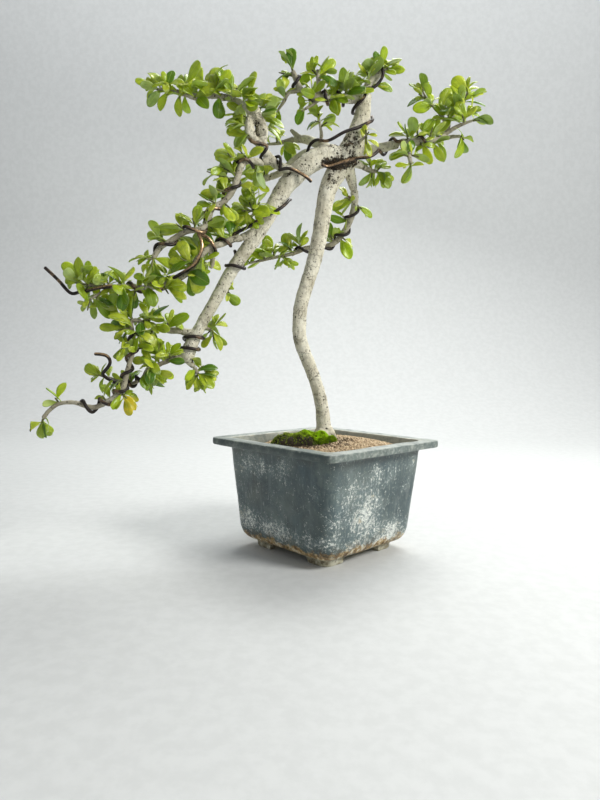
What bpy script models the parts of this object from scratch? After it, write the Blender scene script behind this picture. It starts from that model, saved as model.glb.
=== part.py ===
import math
import random

import bmesh
import bpy
from mathutils import Matrix, Vector
from mathutils.bvhtree import BVHTree

# Every length below is in millimetres about the pot's centre on the table. The last step turns them into metres.
TO_METRES = 0.001
GAP = 0.3

# Pot, a square vessel turned by 45 degrees
POT_TURN = 45.0
RIM_SIDE = 154.0
RIM_CORNER = 8.0
RIM_TOP = 102.4
RIM_UNDER = 95.0
MOUTH_SIDE = 126.0
NECK_SIDE = 131.0
FLOOR_TOP = 14.0
FOOT_SIDE = 92.0
FOOT_HEIGHT = 6.5
ARCH_WIDTH = 50.0
DRAIN_RADIUS = 7.0
CORNER_STEPS = 3

# Soil, a mound that falls away from the trunk
SOIL_PEAK = 104.0
SOIL_DROP = 13.0
SOIL_REACH = 86.0
SOIL_LEFT_DROP = 9.0
TRUNK_HOLE_RADIUS = 10.2
TRUNK_HOLE_FLOOR = 71.5

# Moss, an oval cushion on the mound
MOSS_CENTRE = (-23.0, -27.0)
MOSS_HALF = (29.0, 13.0)
MOSS_RISE = 9.5

# Wire and leaves. FACING is the share of blades that turn their face to the front
WIRE_RADIUS = 1.45
BLADE = 0.7
BLADE_GAP = 0.3
FACING = 0.7

# Wood that grows as one piece: x, y, z, radius
WOOD = {
    "trunk": [
        (0, 0, 72, 9.8), (0, 0, 103, 9.8), (-0.5, 0, 106, 8.9), (-1.5, 0, 111, 7.3), (-2.5, 0, 120, 6.6),
        (-4, -1, 133, 6.3), (-9, -2, 152, 6.0), (-15, -4, 168, 5.9), (-24, -5, 190, 6.2), (-26, -5, 207, 6.4),
        (-24, -4, 228, 6.4), (-16, 1, 256, 6.7), (-9, 3, 285, 7.2), (-3, 5, 325, 7.8), (4, 5, 343, 9.2),
        (14, 4, 359, 11.0), (22, 4, 376, 9.8), (28, 5, 394, 7.9), (30, 5, 410, 6.6), (32, 5, 419, 5.0),
    ],
    "limb": [
        (12, 4, 358, 9.6), (-2, 2, 361, 9.8), (-18, -2, 353, 9.4), (-31, -5, 341, 8.8), (-42, -8, 327, 7.9),
        (-53, -11, 307, 7.1), (-67, -14, 282, 6.4), (-84, -19, 257, 5.9), (-98, -24, 230, 5.5),
        (-111, -28, 206, 5.1), (-118, -31, 191, 5.6), (-123, -33, 178, 6.5), (-124, -33, 170, 5.2),
    ],
    "upper_left_base": [(-29, -5, 343, 4.8), (-42, -11, 345, 4.2), (-52, -14, 350, 4.1), (-61, -18, 360, 4.1)],
    "mid_upper_base": [(-54, -15, 350, 3.6), (-61, -19, 347.5, 3.1)],
    "mid_lower_base": [(-64, -13, 290, 4.5), (-73, -19, 284, 3.5), (-78.5, -23, 281, 3.2)],
    "low_left_base": [(-117, -31, 196, 4.0), (-129, -34, 198, 3.1)],
    "low_bough_base": [(-123, -33, 174, 3.6), (-132, -37, 175, 2.6)],
    "back_upper_base": [(2, 6, 366, 5.2), (-11, 14, 375, 4.4), (-24, 22, 382, 4.1), (-34, 27, 383, 2.9)],
    "back_stub": [(-26, 22, 381, 3.3), (-37, 26, 392, 1.8)],
    "back_lower_base": [(0, 6, 364, 4.8), (-22, 16, 367, 3.8), (-36, 26, 361, 3.5), (-48, 33, 353, 3.3),
                        (-57, 37, 351, 3.1)],
    "top_left_base": [(30, 5, 411, 5.2), (20, 1, 411, 4.6)],
    "right_base": [(14, 4, 362, 7.2), (34, 3, 366, 4.9), (50, 1, 369, 4.2), (62, -1, 371, 3.8)],
    "right_shade_base": [(16, 4, 358, 4.4), (31, 9, 353, 2.7)],
    "back_drop_base": [(14, 6, 359, 7.0), (20, 14, 345, 4.8), (23.5, 19, 334, 3.6)],
    "limb_side_bud": [(-59, -12, 296, 2.4), (-64.5, -17.5, 301.5, 1.7)],
    "limb_middle_bud": [(-96, -24, 232, 2.2), (-93, -16.5, 233.5, 1.6)],
    "limb_low_bud": [(-112, -29, 203, 2.2), (-106, -24, 201, 1.6)],
    "knob_bud": [(-122, -33, 172, 3.2), (-117, -33, 166.5, 2.0)],
    "crotch_bud": [(-9, 12, 374, 2.6), (-8.5, 4.5, 378, 1.7)],
    "joint_bud": [(22, 3, 368, 2.4), (26, -7.5, 371, 1.6)],
}

# Leafy stems: bars of wood, spurs with their leaves, as (foot), (tip), leaves, mean length
STEMS = {
    "apex_shoot": {
        "grows_from": "trunk",
        "bars": [[(32.2, 5, 419.35, 4.8), (36, 5, 427, 4.1), (43, 5, 435, 2.9), (50, 5, 438, 2.0)]],
        "spurs": [
            ((50, 5, 438), (52, 4, 447), 3, 12), ((50, 5, 438), (61, 4, 444), 3, 13),
            ((36, 5, 428), (29, -6, 434), 3, 17), ((43, 5, 435), (42, -4, 441), 3, 16),
            ((43, 5, 435), (36, 12, 441), 3, 15), ((50, 5, 438), (56, -4, 433), 1, 14),
            ((34, 5, 424), (42, -4, 420), 1, 15),
        ],
    },
    "top_left": {
        "grows_from": "top_left_base",
        "bars": [
            [(19.7, 0.9, 411, 4.5), (3, -6, 408, 3.8), (-13, -10, 407, 3.1), (-25, -13, 410, 2.8),
             (-31, -14, 418, 2.6), (-35, -14, 428, 2.0)],
            [(-12, -10, 407, 2.8), (-12, -9, 419, 2.2), (-13, -8, 432, 1.9)],
            [(-26, -13, 411, 2.3), (-38, -11, 411, 2.0), (-42, -10, 404, 1.7), (-49, -9, 394, 1.1)],
            [(-9, -10, 407, 2.1), (-17, -12, 400, 1.4), (-24, -12, 396, 1.1)],
        ],
        "spurs": [
            ((-35, -14, 428), (-39, -14, 438), 3, 14), ((-33, -14, 423), (-51, -12, 428), 1, 14),
            ((-13, -9, 426), (-20, -10, 433), 3, 13), ((-13, -9, 424), (-4, -11, 431), 3, 14),
            ((3, -6, 408), (0, -10, 424), 3, 17), ((12, -3, 410), (13, -12, 424), 3, 20),
            ((16, -1, 410), (22, -13, 418), 3, 17), ((8, -4, 409), (8, -16, 405), 1, 15),
            ((-18, -11, 409), (-21, -21, 408), 3, 14), ((-2, -7, 408), (-2, -17, 400), 3, 14),
            ((-24, -12, 396), (-27, -13, 393), 1, 14), ((-17, -12, 400), (-22, -16, 404), 1, 13),
            ((-40, -11, 408), (-45, -16, 414), 3, 13), ((-49, -9, 394), (-51, -9, 390), 1, 12),
        ],
    },
    "upper_left": {
        "grows_from": "upper_left_base",
        "bars": [
            [(-61.2, -18.1, 360.3, 4.1), (-60.5, -19.5, 369, 3.4), (-61.5, -21, 379, 3.4), (-68, -22, 387, 4.6),
             (-78, -22, 395, 3.5), (-91, -20, 401, 2.9), (-106, -18, 404, 2.7), (-118, -16, 403, 2.6),
             (-133, -13, 408, 2.1), (-146, -10, 412, 1.7), (-154, -8, 413, 1.2)],
            [(-61.5, -18.6, 362, 3.0), (-69.5, -22.5, 368, 3.0), (-71.5, -24, 377, 3.2), (-69, -23, 387, 3.4)],
        ],
        "spurs": [
            ((-154, -8, 413), (-163, -7, 414), 3, 15), ((-146, -10, 412), (-149, -15, 416), 3, 13),
            ((-142, -11, 411), (-147, -15, 403), 1, 13),
            ((-132, -13, 408), (-135, -17, 400), 3, 15), ((-126, -14, 406), (-128, -19, 418), 3, 20),
            ((-120, -16, 404), (-120, -24, 398), 1, 15), ((-112, -17, 404), (-112, -15, 421), 3, 19),
            ((-104, -18, 404), (-97, -21, 421), 3, 21), ((-96, -19, 402), (-92, -26, 396), 1, 14),
            ((-86, -21, 399), (-82, -26, 410), 3, 19), ((-77, -22, 394), (-66, -28, 404), 3, 19),
            ((-68, -22, 387), (-54, -18, 402), 3, 16), ((-65, -21.5, 383), (-54, -14, 391), 3, 17),
            ((-70.5, -23.5, 382), (-86, -27, 388), 3, 17), ((-71.5, -24, 377), (-82, -28, 375), 3, 17),
            ((-61.5, -21, 377), (-52, -16, 376), 1, 17), ((-69.5, -22.5, 369), (-79, -26, 364), 1, 16),
            ((-74, -22, 391), (-70, -32, 391), 1, 15),
        ],
    },
    "middle_upper": {
        "grows_from": "mid_upper_base",
        "bars": [[(-61.3, -19.2, 347.4, 3.1), (-67, -23, 347, 2.9), (-76, -31, 343, 2.8), (-80, -34, 332, 2.8),
                  (-84, -37, 318, 2.7), (-92, -40, 307, 2.7), (-101, -42, 301, 2.7), (-104, -43, 291, 2.5),
                  (-109, -45, 284, 2.4), (-122, -46, 281, 2.4), (-134, -46, 274, 2.4), (-144, -46, 267, 2.3),
                  (-150, -46, 258, 2.5)]],
        "spurs": [
            ((-67, -23, 347), (-67, -12, 339), 3, 16), ((-71, -26, 346), (-81, -35, 354), 2, 17),
            ((-78, -32, 339), (-92, -37, 352), 3, 21), ((-80, -34, 332), (-99, -40, 338), 3, 19),
            ((-82, -35, 326), (-112, -42, 334), 3, 19), ((-83, -36, 320), (-70, -36, 326), 1, 16),
            ((-86, -38, 315), (-102, -45, 318), 3, 17), ((-96, -41, 304), (-105, -48, 309), 3, 15),
            ((-92, -40, 307), (-84, -46, 300), 1, 15), ((-106, -44, 288), (-98, -49, 292), 1, 15),
            ((-114, -46, 283), (-117, -50, 294), 3, 17), ((-122, -46, 281), (-132, -51, 288), 3, 19),
            ((-130, -46, 277), (-127, -41, 268), 3, 15), ((-138, -46, 271), (-148, -52, 276), 3, 16),
            ((-150, -46, 258), (-158, -50, 257), 3, 16), ((-150, -46, 258), (-150, -51, 249), 3, 16),
        ],
    },
    "middle_lower": {
        "grows_from": "mid_lower_base",
        "bars": [
            [(-78.7, -23.2, 280.9, 3.2), (-84, -27, 279, 2.9), (-95, -34, 273, 2.8), (-105, -39, 268, 2.7),
             (-113, -44, 258, 2.5), (-121, -47, 246, 2.4), (-135, -49, 238, 2.3), (-154, -50, 233, 2.2),
             (-172, -50, 234, 2.1), (-189, -50, 233, 1.8), (-203, -50, 235, 1.6)],
            [(-103, -38, 268, 2.6), (-101, -36, 259, 2.3), (-103, -36, 252, 1.9)],
            [(-182, -50, 233.5, 1.8), (-194, -52, 227, 1.4), (-201, -54, 222, 1.1)],
        ],
        "spurs": [
            ((-84, -27, 279), (-90, -19, 293), 3, 18), ((-92, -32, 275), (-100, -26, 293), 3, 17),
            ((-99, -36, 271), (-112, -33, 280), 3, 16),
            ((-112, -43, 260), (-104, -38, 250), 3, 19), ((-116, -45, 253), (-128, -54, 259), 3, 20),
            ((-121, -47, 246), (-115, -51, 238), 3, 19), ((-135, -49, 238), (-137, -55, 244), 3, 14),
            ((-141, -49, 236), (-134, -54, 226), 3, 17), ((-154, -50, 233), (-151, -55, 241), 3, 14),
            ((-163, -50, 233), (-164, -56, 224), 3, 15),
            ((-176, -50, 234), (-177, -45, 242), 3, 16), ((-185, -50, 233), (-188, -55, 241), 3, 16),
            ((-176, -50, 234), (-178, -56, 224), 3, 16), ((-201, -54, 222), (-204, -52, 211), 3, 15),
            ((-196, -52, 226), (-197, -48, 215), 3, 14), ((-203, -50, 235), (-198, -55, 243), 3, 17),
            ((-203, -50, 235), (-214, -53, 246), 3, 18), ((-203, -50, 235), (-216, -55, 236), 3, 19),
            ((-203, -50, 235), (-209, -46, 227), 3, 16),
        ],
    },
    "low_left": {
        "grows_from": "low_left_base",
        "bars": [
            [(-129.3, -34.1, 198, 3.0), (-141, -38, 199, 2.6), (-154, -43, 203, 2.1), (-167, -48, 206, 1.9),
             (-166, -50, 194, 1.8), (-165, -52, 182, 1.9), (-168, -54, 169, 2.1), (-171, -55, 156, 2.3),
             (-175, -56, 145, 2.8), (-186, -56, 137, 2.4), (-199, -56, 132, 2.1), (-213, -56, 136, 1.9),
             (-226, -56, 135, 1.7), (-235, -56, 129, 1.8), (-240, -56, 122, 1.9)],
        ],
        "spurs": [
            ((-138, -37, 199), (-139, -44, 208), 3, 15), ((-134, -35, 198), (-129, -29, 207), 1, 15),
            ((-150, -41, 201), (-153, -48, 192), 3, 15), ((-154, -43, 203), (-157, -40, 217), 3, 17),
            ((-160, -45, 205), (-149, -52, 208), 3, 15), ((-167, -48, 206), (-172, -45, 221), 3, 17),
            ((-167, -48, 206), (-183, -54, 210), 3, 17), ((-166, -49, 200), (-181, -52, 197), 3, 17),
            ((-166, -50, 196), (-155, -57, 191), 3, 15), ((-165, -51, 187), (-175, -57, 184), 3, 14),
            ((-165, -52, 182), (-154, -57, 182), 1, 13), ((-175, -56, 145), (-167, -60, 139), 3, 14),
            ((-186, -56, 137), (-190, -61, 144), 1, 13), ((-226, -56, 135), (-231, -56, 141), 1, 14),
            ((-240, -56, 122), (-243, -56, 114), 3, 14), ((-171, -55, 156), (-180, -60, 152), 1, 13),
        ],
    },
    "low_bough": {
        "grows_from": "low_bough_base",
        "bars": [[(-132.3, -37.1, 174.9, 2.5), (-139, -40, 172, 2.2), (-147, -43, 168, 2.1), (-155, -45, 164, 1.9),
                  (-160, -42, 157, 1.7), (-170, -42, 152, 1.6), (-181, -44, 155, 1.5), (-192, -46, 158, 1.3)]],
        "spurs": [
            ((-137, -39, 173), (-136, -46, 180), 3, 15), ((-142, -41, 170), (-144, -40, 183), 3, 16),
            ((-147, -43, 168), (-155, -50, 174), 3, 16), ((-147, -43, 168), (-146, -52, 160), 3, 16),
            ((-155, -45, 164), (-150, -46, 153), 3, 16), ((-170, -42, 152), (-172, -36, 162), 1, 13),
            ((-181, -44, 155), (-185, -38, 147), 1, 14), ((-192, -46, 158), (-200, -46, 160), 3, 14),
        ],
    },
    "right_branch": {
        "grows_from": "right_base",
        "bars": [
            [(62.3, -1.1, 371.1, 3.8), (70, -2, 372, 3.5), (84, -3, 373, 3.2), (98, -2, 375, 2.8), (105, 0, 383, 2.4),
             (107, 2, 393, 2.0)],
            [(71, -3, 372, 2.6), (70, -9, 359, 2.1), (71, -13, 350, 1.6)],
            [(106, 1, 389, 2.0), (98, 5, 402, 1.6), (88, 8, 414, 1.3), (84, 8, 421, 1.1)],
            [(107, 2, 393, 1.9), (114, 4, 399, 1.6), (122, 6, 401, 1.3)],
            [(113, 4, 398, 1.5), (121, 9, 411, 1.3), (126, 12, 424, 1.1)],
            [(102, -1, 379, 2.2), (113, -4, 386, 1.7), (126, -8, 390, 1.2)],
            [(98, -2, 375, 2.3), (108, -7, 376, 1.7), (115, -11, 375, 1.3)],
        ],
        "spurs": [
            ((70, -2, 372), (66, -10, 383), 3, 16), ((78, -2, 372.5), (77, -10, 386), 2, 16),
            ((88, -3, 373.5), (91, -10, 386), 2, 17), ((96, -2, 375), (100, 6, 388), 2, 16),
            ((92, -2, 374), (93, -10, 362), 2, 15), ((80, -3, 373), (82, -12, 364), 1, 14),
            ((84, 8, 421), (83, 8, 426), 2, 15), ((88, 8, 414), (77, 3, 418), 2, 15),
            ((93, 6, 408), (88, -1, 406), 2, 15), ((98, 5, 402), (106, -2, 407), 3, 16),
            ((122, 6, 401), (129, 5, 402), 2, 15), ((118, 5, 400), (119, -2, 409), 2, 14),
            ((126, 12, 424), (126, 12, 430), 3, 14), ((123, 10, 416), (134, 9, 420), 2, 14),
            ((121, 9, 411), (111, 5, 417), 2, 14), ((126, -8, 390), (134, -9, 390), 2, 15),
            ((119, -6, 388), (115, -12, 396), 2, 15), ((115, -11, 375), (118, -14, 370), 2, 15),
            ((107, 2, 393), (104, -6, 397), 2, 15), ((71, -13, 350), (70, -15, 344), 2, 17),
            ((70, -10, 357), (61, -14, 358), 2, 16), ((70, -9, 359), (80, -14, 355), 1, 14),
        ],
    },
    "right_shade": {
        "grows_from": "right_shade_base",
        "bars": [[(31, 9, 353, 2.7), (38, 14, 351.5, 2.2), (44, 18, 352, 1.8)]],
        "spurs": [
            ((38, 14, 351.5), (37, 10, 361), 2, 14), ((44, 18, 352), (50, 18, 358), 2, 14),
            ((40, 15, 351.7), (39, 14, 343), 2, 14), ((44, 18, 352), (53, 21, 346), 3, 14),
        ],
    },
    "back_drop": {
        "grows_from": "back_drop_base",
        "bars": [[(23.6, 19.2, 333.6, 3.5), (25, 25, 323, 3.2), (20, 33, 306, 3.0), (9, 40, 291, 2.7),
                  (-5, 44, 286, 2.7), (-21, 46, 285, 2.5), (-33, 47, 280, 2.0), (-56, 48, 275, 1.6),
                  (-76, 48, 270, 1.2)]],
        "spurs": [
            ((24.5, 22, 328), (12, 17, 327), 3, 15), ((25, 25, 323), (34, 24, 318), 1, 14),
            ((22, 30, 312), (11, 27, 312), 1, 14), ((13, 38, 296), (21, 33, 288), 1, 15),
            ((6, 41, 290), (2, 37, 299), 2, 15), ((-26, 46, 283), (-28, 44, 294), 2, 17),
            ((-33, 47, 280), (-41, 43, 289), 2, 18), ((-42, 47, 278), (-38, 43, 268), 2, 15),
            ((-52, 48, 276), (-54, 45, 287), 2, 17), ((-60, 48, 274), (-68, 46, 282), 3, 16),
            ((-76, 48, 270), (-80, 47, 274), 2, 15),
        ],
    },
    "back_upper": {
        "grows_from": "back_upper_base",
        "bars": [[(-34.3, 27.1, 383, 2.8), (-42, 31, 382.5, 2.2), (-51, 35, 382, 1.6), (-60, 38, 382, 1.3)]],
        "spurs": [
            ((-42, 31, 382.5), (-40, 27, 374), 3, 13), ((-50, 34, 382), (-51, 31, 389), 1, 13),
            ((-60, 38, 382), (-64, 38, 385), 3, 13),
        ],
    },
    "back_lower": {
        "grows_from": "back_lower_base",
        "bars": [[(-57.3, 37.1, 350.95, 3.0), (-65, 41, 350, 2.8), (-77, 44, 352, 2.1)]],
        "spurs": [
            ((-63, 40, 350), (-61, 36, 361), 3, 16), ((-70, 42, 351), (-72, 37, 343), 3, 15),
            ((-77, 44, 352), (-83, 43, 356), 3, 15),
        ],
    },
    "joint_leaf": {
        "grows_from": "joint_bud",
        "bars": [[(26.1, -7.8, 371.1, 1.6), (31, -13, 373, 1.3)]],
        "spurs": [
            ((31, -13, 373), (30, -15, 380), 1, 9), ((31, -13, 373), (31, -15, 364), 1, 15),
            ((30, -12, 372.5), (34, -14, 378), 1, 9),
        ],
    },
    "crotch_twig": {
        "grows_from": "crotch_bud",
        "bars": [[(-8.5, 4, 378, 1.7), (-9, 0, 383, 1.5), (-11, -3, 393, 1.1)]],
        "spurs": [
            ((-11, -3, 393), (-12, -4, 397), 3, 13), ((-10, -2, 388), (-16, -6, 389), 1, 12),
            ((-9.5, -1, 385), (-2, -5, 389), 1, 12),
        ],
    },
    "limb_side": {
        "grows_from": "limb_side_bud",
        "bars": [[(-64.7, -17.7, 301.7, 1.7), (-68, -21, 305, 1.6)]],
        "spurs": [
            ((-68, -21, 305), (-72, -25, 313), 3, 19), ((-68, -21, 305), (-60, -26, 313), 3, 17),
            ((-68, -21, 305), (-80, -28, 303), 3, 18), ((-67, -20, 304), (-73, -26, 294), 3, 16),
        ],
    },
    "limb_middle": {
        "grows_from": "limb_middle_bud",
        "bars": [[(-92.9, -16.2, 233.6, 1.6), (-91, -12, 235, 1.4)]],
        "spurs": [((-91, -12, 235), (-89, -12, 240), 1, 12), ((-91, -12, 235), (-86, -14, 231), 1, 12)],
    },
    "limb_low": {
        "grows_from": "limb_low_bud",
        "bars": [[(-105.75, -23.8, 200.9, 1.6), (-102, -21, 201, 1.5)]],
        "spurs": [
            ((-102, -21, 201), (-101, -19, 208), 3, 14), ((-103, -22, 201), (-101, -25, 190), 3, 14),
            ((-103, -22, 201), (-109, -18, 196), 1, 13),
        ],
    },
    "knob_twig": {
        "grows_from": "knob_bud",
        "bars": [[(-116.8, -33, 166.3, 1.9), (-114, -33, 161, 1.6)]],
        "spurs": [
            ((-115, -33, 163), (-108, -28, 170), 3, 15), ((-114, -33, 161), (-106, -31, 160), 3, 15),
            ((-114, -33, 161), (-116, -35, 153), 3, 16),
        ],
    },
}

# Wires: turns round a bar as (bar, first share, last share, turns), and the free points between them
WIRES = {
    "wire_long_branch": {
        "start": 40.0,
        "head": [(-38, -4, 322), (-40, -16, 314), (-44, -22, 307), (-52, -24, 302), (-62, -25, 297),
                 (-69, -26, 291)],
        "runs": [("middle_lower/0", 0.02, 0.20, 1.6), (-104, -40, 275), (-109, -43, 280), (-112, -46, 282),
                 (-109, -49, 274), (-108, -50, 267), (-110, -51, 260), (-113, -52, 254), (-118, -54, 249),
                 ("middle_lower/0", 0.50, 0.86, 3.0)],
        "tail": [(-203, -56, 229), (-210, -51, 229), (-217, -50, 227), (-223, -50, 232), (-228, -50, 238),
                 (-240, -50, 249)],
    },
    "wire_middle_branch": {
        "start": 200.0,
        "runs": [("middle_upper/0", 0.02, 0.97, 5.0)],
        "tail": [],
    },
    "wire_shoulder": {
        "start": 300.0,
        "head": [(-17, -12, 333), (-21, -15, 336), (-28, -16, 340), (-33, -17, 342), (-39, -18, 343),
                 (-45, -19, 341)],
        "runs": [("upper_left_base", 0.45, 0.97, 1.2)],
        "tail": [(-68, -28, 361), (-71, -25, 366)],
    },
    "wire_joint": {
        "start": 60.0,
        "head": [(36, 6, 397), (36, -1, 391), (31, -4, 387), (22, -7, 382), (12, -10, 378), (2, -10, 372)],
        "runs": [(-5, -8, 370), (-12, 2, 375), (-18, 8, 373), (-20, 10, 367), (-22, 12, 362), (-27, 17, 360)],
        "tail": [],
    },
    "wire_right_branch": {
        "start": 90.0,
        "head": [(-8, -9, 348), (-2, -13, 345), (12, -14, 349), (26, -12, 354), (37, -7, 358), (43, -4, 364)],
        "runs": [("right_base", 0.62, 0.97, 0.9), ("right_branch/0", 0.04, 0.55, 1.6)],
        "tail": [],
    },
    "wire_apex": {
        "start": 0.0,
        "head": [(32, 13, 408), (25, 10, 402), (21, 4, 400), (21, -1, 403), (26, -4, 407), (30, -4, 412)],
        "runs": [(31, -4, 418), (37, -3, 419), (43, -2, 425), (46, -2, 432), (43, -2, 439), (37, 1, 443),
                 (30, 4, 442)],
        "tail": [],
    },
    "wire_top": {
        "start": 120.0,
        "runs": [("top_left/0", 0.06, 0.92, 4.0)],
        "tail": [],
    },
    "wire_back": {
        "start": 20.0,
        "runs": [("back_drop/0", 0.03, 0.70, 4.5)],
        "tail": [],
    },
    "wire_limb": {
        "start": 150.0,
        "runs": [("limb", 0.56, 0.63, 0.9)],
        "tail": [],
    },
    "wire_knob": {
        "start": 250.0,
        "runs": [("limb", 0.885, 0.965, 1.8)],
        "tail": [],
    },
    "wire_tail": {
        "start": 30.0,
        "runs": [("low_left/0", 0.30, 0.80, 5.5)],
        "tail": [],
    },
    "wire_hook": {
        "start": 200.0,
        "runs": [("low_bough/0", 0.45, 0.80, 2.4)],
        "tail": [(-190, -55, 159), (-186, -59, 164), (-182, -60, 170), (-185, -61, 176), (-195, -61, 177)],
    },
}


# Lines and bars
def smooth_route(route):
    """Put one rounded point between each two points of a route."""
    rows = [Vector(row) for row in route]
    out = [rows[0]]
    for i in range(len(rows) - 1):
        before = rows[max(i - 1, 0)]
        after = rows[min(i + 2, len(rows) - 1)]
        out.append((rows[i] + rows[i + 1]) * 0.5625 - (before + after) * 0.0625)
        out.append(rows[i + 1])
    return [tuple(row) for row in out]


def wood_routes():
    """The bars that grow as one piece, with the two thick ones rounded."""
    out = {}
    for name, route in WOOD.items():
        if name in ("trunk", "limb"):
            out[name] = smooth_route(route)
        else:
            out[name] = list(route)
    return out


def spur_route(spur):
    """A short shoot from its foot on the bar to its tip."""
    return [(*spur[0], 1.5), (*spur[1], 1.2)]


def stem_routes(stem):
    """All bars of a leafy stem, its wood first and its short shoots after."""
    data = STEMS[stem]
    out = [list(bar) for bar in data["bars"]]
    held = WOOD[data["grows_from"]]
    end = Vector(held[-1][:3])
    ahead = (end - Vector(held[-2][:3])).normalized()
    near = end + ahead * GAP
    far = end + ahead * (GAP + 0.4 * held[-1][3])
    out[0] = [(*near, held[-1][3]), (*far, held[-1][3])] + out[0][1:]
    for spur in data["spurs"]:
        if spur[2] > 3:
            out.append(spur_route(spur))
    return out


def segments(route):
    """Pairs of neighbouring points with their radii."""
    out = []
    for a, b in zip(route[:-1], route[1:]):
        out.append((Vector(a[:3]), Vector(b[:3]), a[3], b[3]))
    return out


# Wires
def frames(route):
    """Points, lengths so far and a side direction carried along a route without twist."""
    points = [Vector(p[:3]) for p in route]
    lengths = [0.0]
    for a, b in zip(points[:-1], points[1:]):
        lengths.append(lengths[-1] + (b - a).length)
    tangents = []
    for i in range(len(points)):
        a = points[max(i - 1, 0)]
        b = points[min(i + 1, len(points) - 1)]
        tangents.append((b - a).normalized())
    side = tangents[0].orthogonal().normalized()
    sides = []
    for tangent in tangents:
        side = (side - tangent * side.dot(tangent)).normalized()
        sides.append(side.copy())
    return points, lengths, tangents, sides


def place_on(data, share):
    """Point, radius slot, tangent and side at a share of the whole length."""
    points, lengths, tangents, sides = data
    want = share * lengths[-1]
    i = 0
    while i < len(points) - 2 and lengths[i + 1] < want:
        i += 1
    t = (want - lengths[i]) / (lengths[i + 1] - lengths[i])
    point = points[i].lerp(points[i + 1], t)
    tangent = tangents[i].lerp(tangents[i + 1], t).normalized()
    side = sides[i].lerp(sides[i + 1], t)
    side = (side - tangent * side.dot(tangent)).normalized()
    return point, i, t, tangent, side


def wound(route, first, last, turns, angle):
    """Points of a wire that turns round a bar, seven to a turn."""
    data = frames(route)
    count = max(3, round(turns * 7))
    out = []
    for k in range(count + 1):
        share = first + (last - first) * k / count
        point, i, t, tangent, side = place_on(data, share)
        radius = route[i][3] + (route[i + 1][3] - route[i][3]) * t
        reach = (radius + WIRE_RADIUS + GAP) / math.cos(math.pi / 7)
        turn = angle + math.tau * turns * k / count
        out.append(point + (side * math.cos(turn) + tangent.cross(side) * math.sin(turn)) * reach)
    return out


def start_angle(route, first, near):
    """The angle round a bar that lies nearest a given point."""
    point, _, _, tangent, side = place_on(frames(route), first)
    away = near - point
    return math.atan2(away.dot(tangent.cross(side)), away.dot(side))


def push_clear(points, bars, clear):
    """Move points, and the spans between them, out of every bar that they come too near."""
    near = []
    for i, point in enumerate(points):
        for bar in bars:
            middle = (bar[0] + bar[1]) * 0.5
            if (point - middle).length < (bar[1] - bar[0]).length * 0.5 + max(bar[2], bar[3]) + 14.0:
                near.append((i, bar))
    for _ in range(24):
        for i, bar in near:
            places = [(points[i], (i,))]
            if i + 1 < len(points):
                places.append(((points[i] + points[i + 1]) * 0.5, (i, i + 1)))
            for place, moved in places:
                along = bar[1] - bar[0]
                t = (place - bar[0]).dot(along) / along.length_squared
                t = min(1.0, max(0.0, t))
                away = place - (bar[0] + along * t)
                need = bar[2] + (bar[3] - bar[2]) * t + clear
                if 0.0001 < away.length < need:
                    step = away.normalized() * (need - away.length)
                    for m in moved:
                        points[m] = points[m] + step
    return points


def tightest(points, bars):
    """The smallest clearance between a wire's middle line and any bar, less the wire's radius and the gap."""
    low, high = points[0].copy(), points[0].copy()
    for p in points:
        for i in range(3):
            low[i] = min(low[i], p[i] - 16)
            high[i] = max(high[i], p[i] + 16)
    worst = 99.0
    spans = [(a.lerp(b, t), b) for a, b in zip(points[:-1], points[1:]) for t in (0, 0.25, 0.5, 0.75)]
    for a, b, ra, rb in bars:
        middle = (a + b) * 0.5
        reach = (b - a).length * 0.5
        if any(middle[i] + reach < low[i] or middle[i] - reach > high[i] for i in range(3)):
            continue
        along = b - a
        for place, _ in spans:
            t = min(1.0, max(0.0, (place - a).dot(along) / along.length_squared))
            gap = (place - (a + along * t)).length - (ra + (rb - ra) * t) - WIRE_RADIUS - GAP
            worst = min(worst, gap)
    return worst


def wire_routes(wood, stems):
    """Every wire as a run of points, each clear of the wood and of the wires before it."""
    bars = []
    for route in wood.values():
        bars.extend(segments(route))
    for routes in stems.values():
        for route in routes:
            bars.extend(segments(route))
    out = {}
    for name, wire in WIRES.items():
        best = None
        for shift in range(0, 360, 15):
            points = [Vector(p) for p in wire.get("head", [])]
            angle = math.radians(wire["start"] + shift)
            for run in wire["runs"]:
                if len(run) == 3:
                    points.append(Vector(run))
                    continue
                key, first, last, turns = run
                if "/" in key:
                    stem, index = key.split("/")
                    route = stems[stem][int(index)]
                else:
                    route = wood[key]
                if points:
                    angle = start_angle(route, first, points[-1]) + math.radians(shift) * (len(points) < 8)
                points.extend(wound(route, first, last, turns, angle))
            points.extend(Vector(p) for p in wire["tail"])
            points = push_clear(points, bars, WIRE_RADIUS + GAP + 0.1)
            worst = tightest(points, bars)
            if best is None or worst > best[0]:
                best = (worst, points)
            if worst > -0.12:
                break
        points = best[1]
        out[name] = [(p.x, p.y, p.z, WIRE_RADIUS) for p in points]
        bars.extend(segments(out[name]))
    return out


# Leaves
def blade_points(leaf, thick):
    """Corners and faces of one blade: pointed at its foot, broad near its tip and bent along its length."""
    base, along, up, length, width, curl = leaf
    across = along.cross(up)
    rim = [(0.0, 0.0), (0.62, -0.47), (0.98, -0.25), (0.98, 0.25), (0.62, 0.47)]
    middle = []
    for u, v in rim:
        middle.append(base + along * (u * length) + across * (v * width) - up * (curl * u * u * length))
    corners = [p + up * (thick / 2) for p in middle]
    corners += [p - up * (thick / 2) for p in middle]
    faces = [(0, 1, 4), (1, 2, 3, 4)]
    faces += [tuple(i + 5 for i in reversed(face)) for face in faces]
    for i in range(5):
        j = (i + 1) % 5
        faces.append((i, i + 5, j + 5, j))
    return corners, faces


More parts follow.
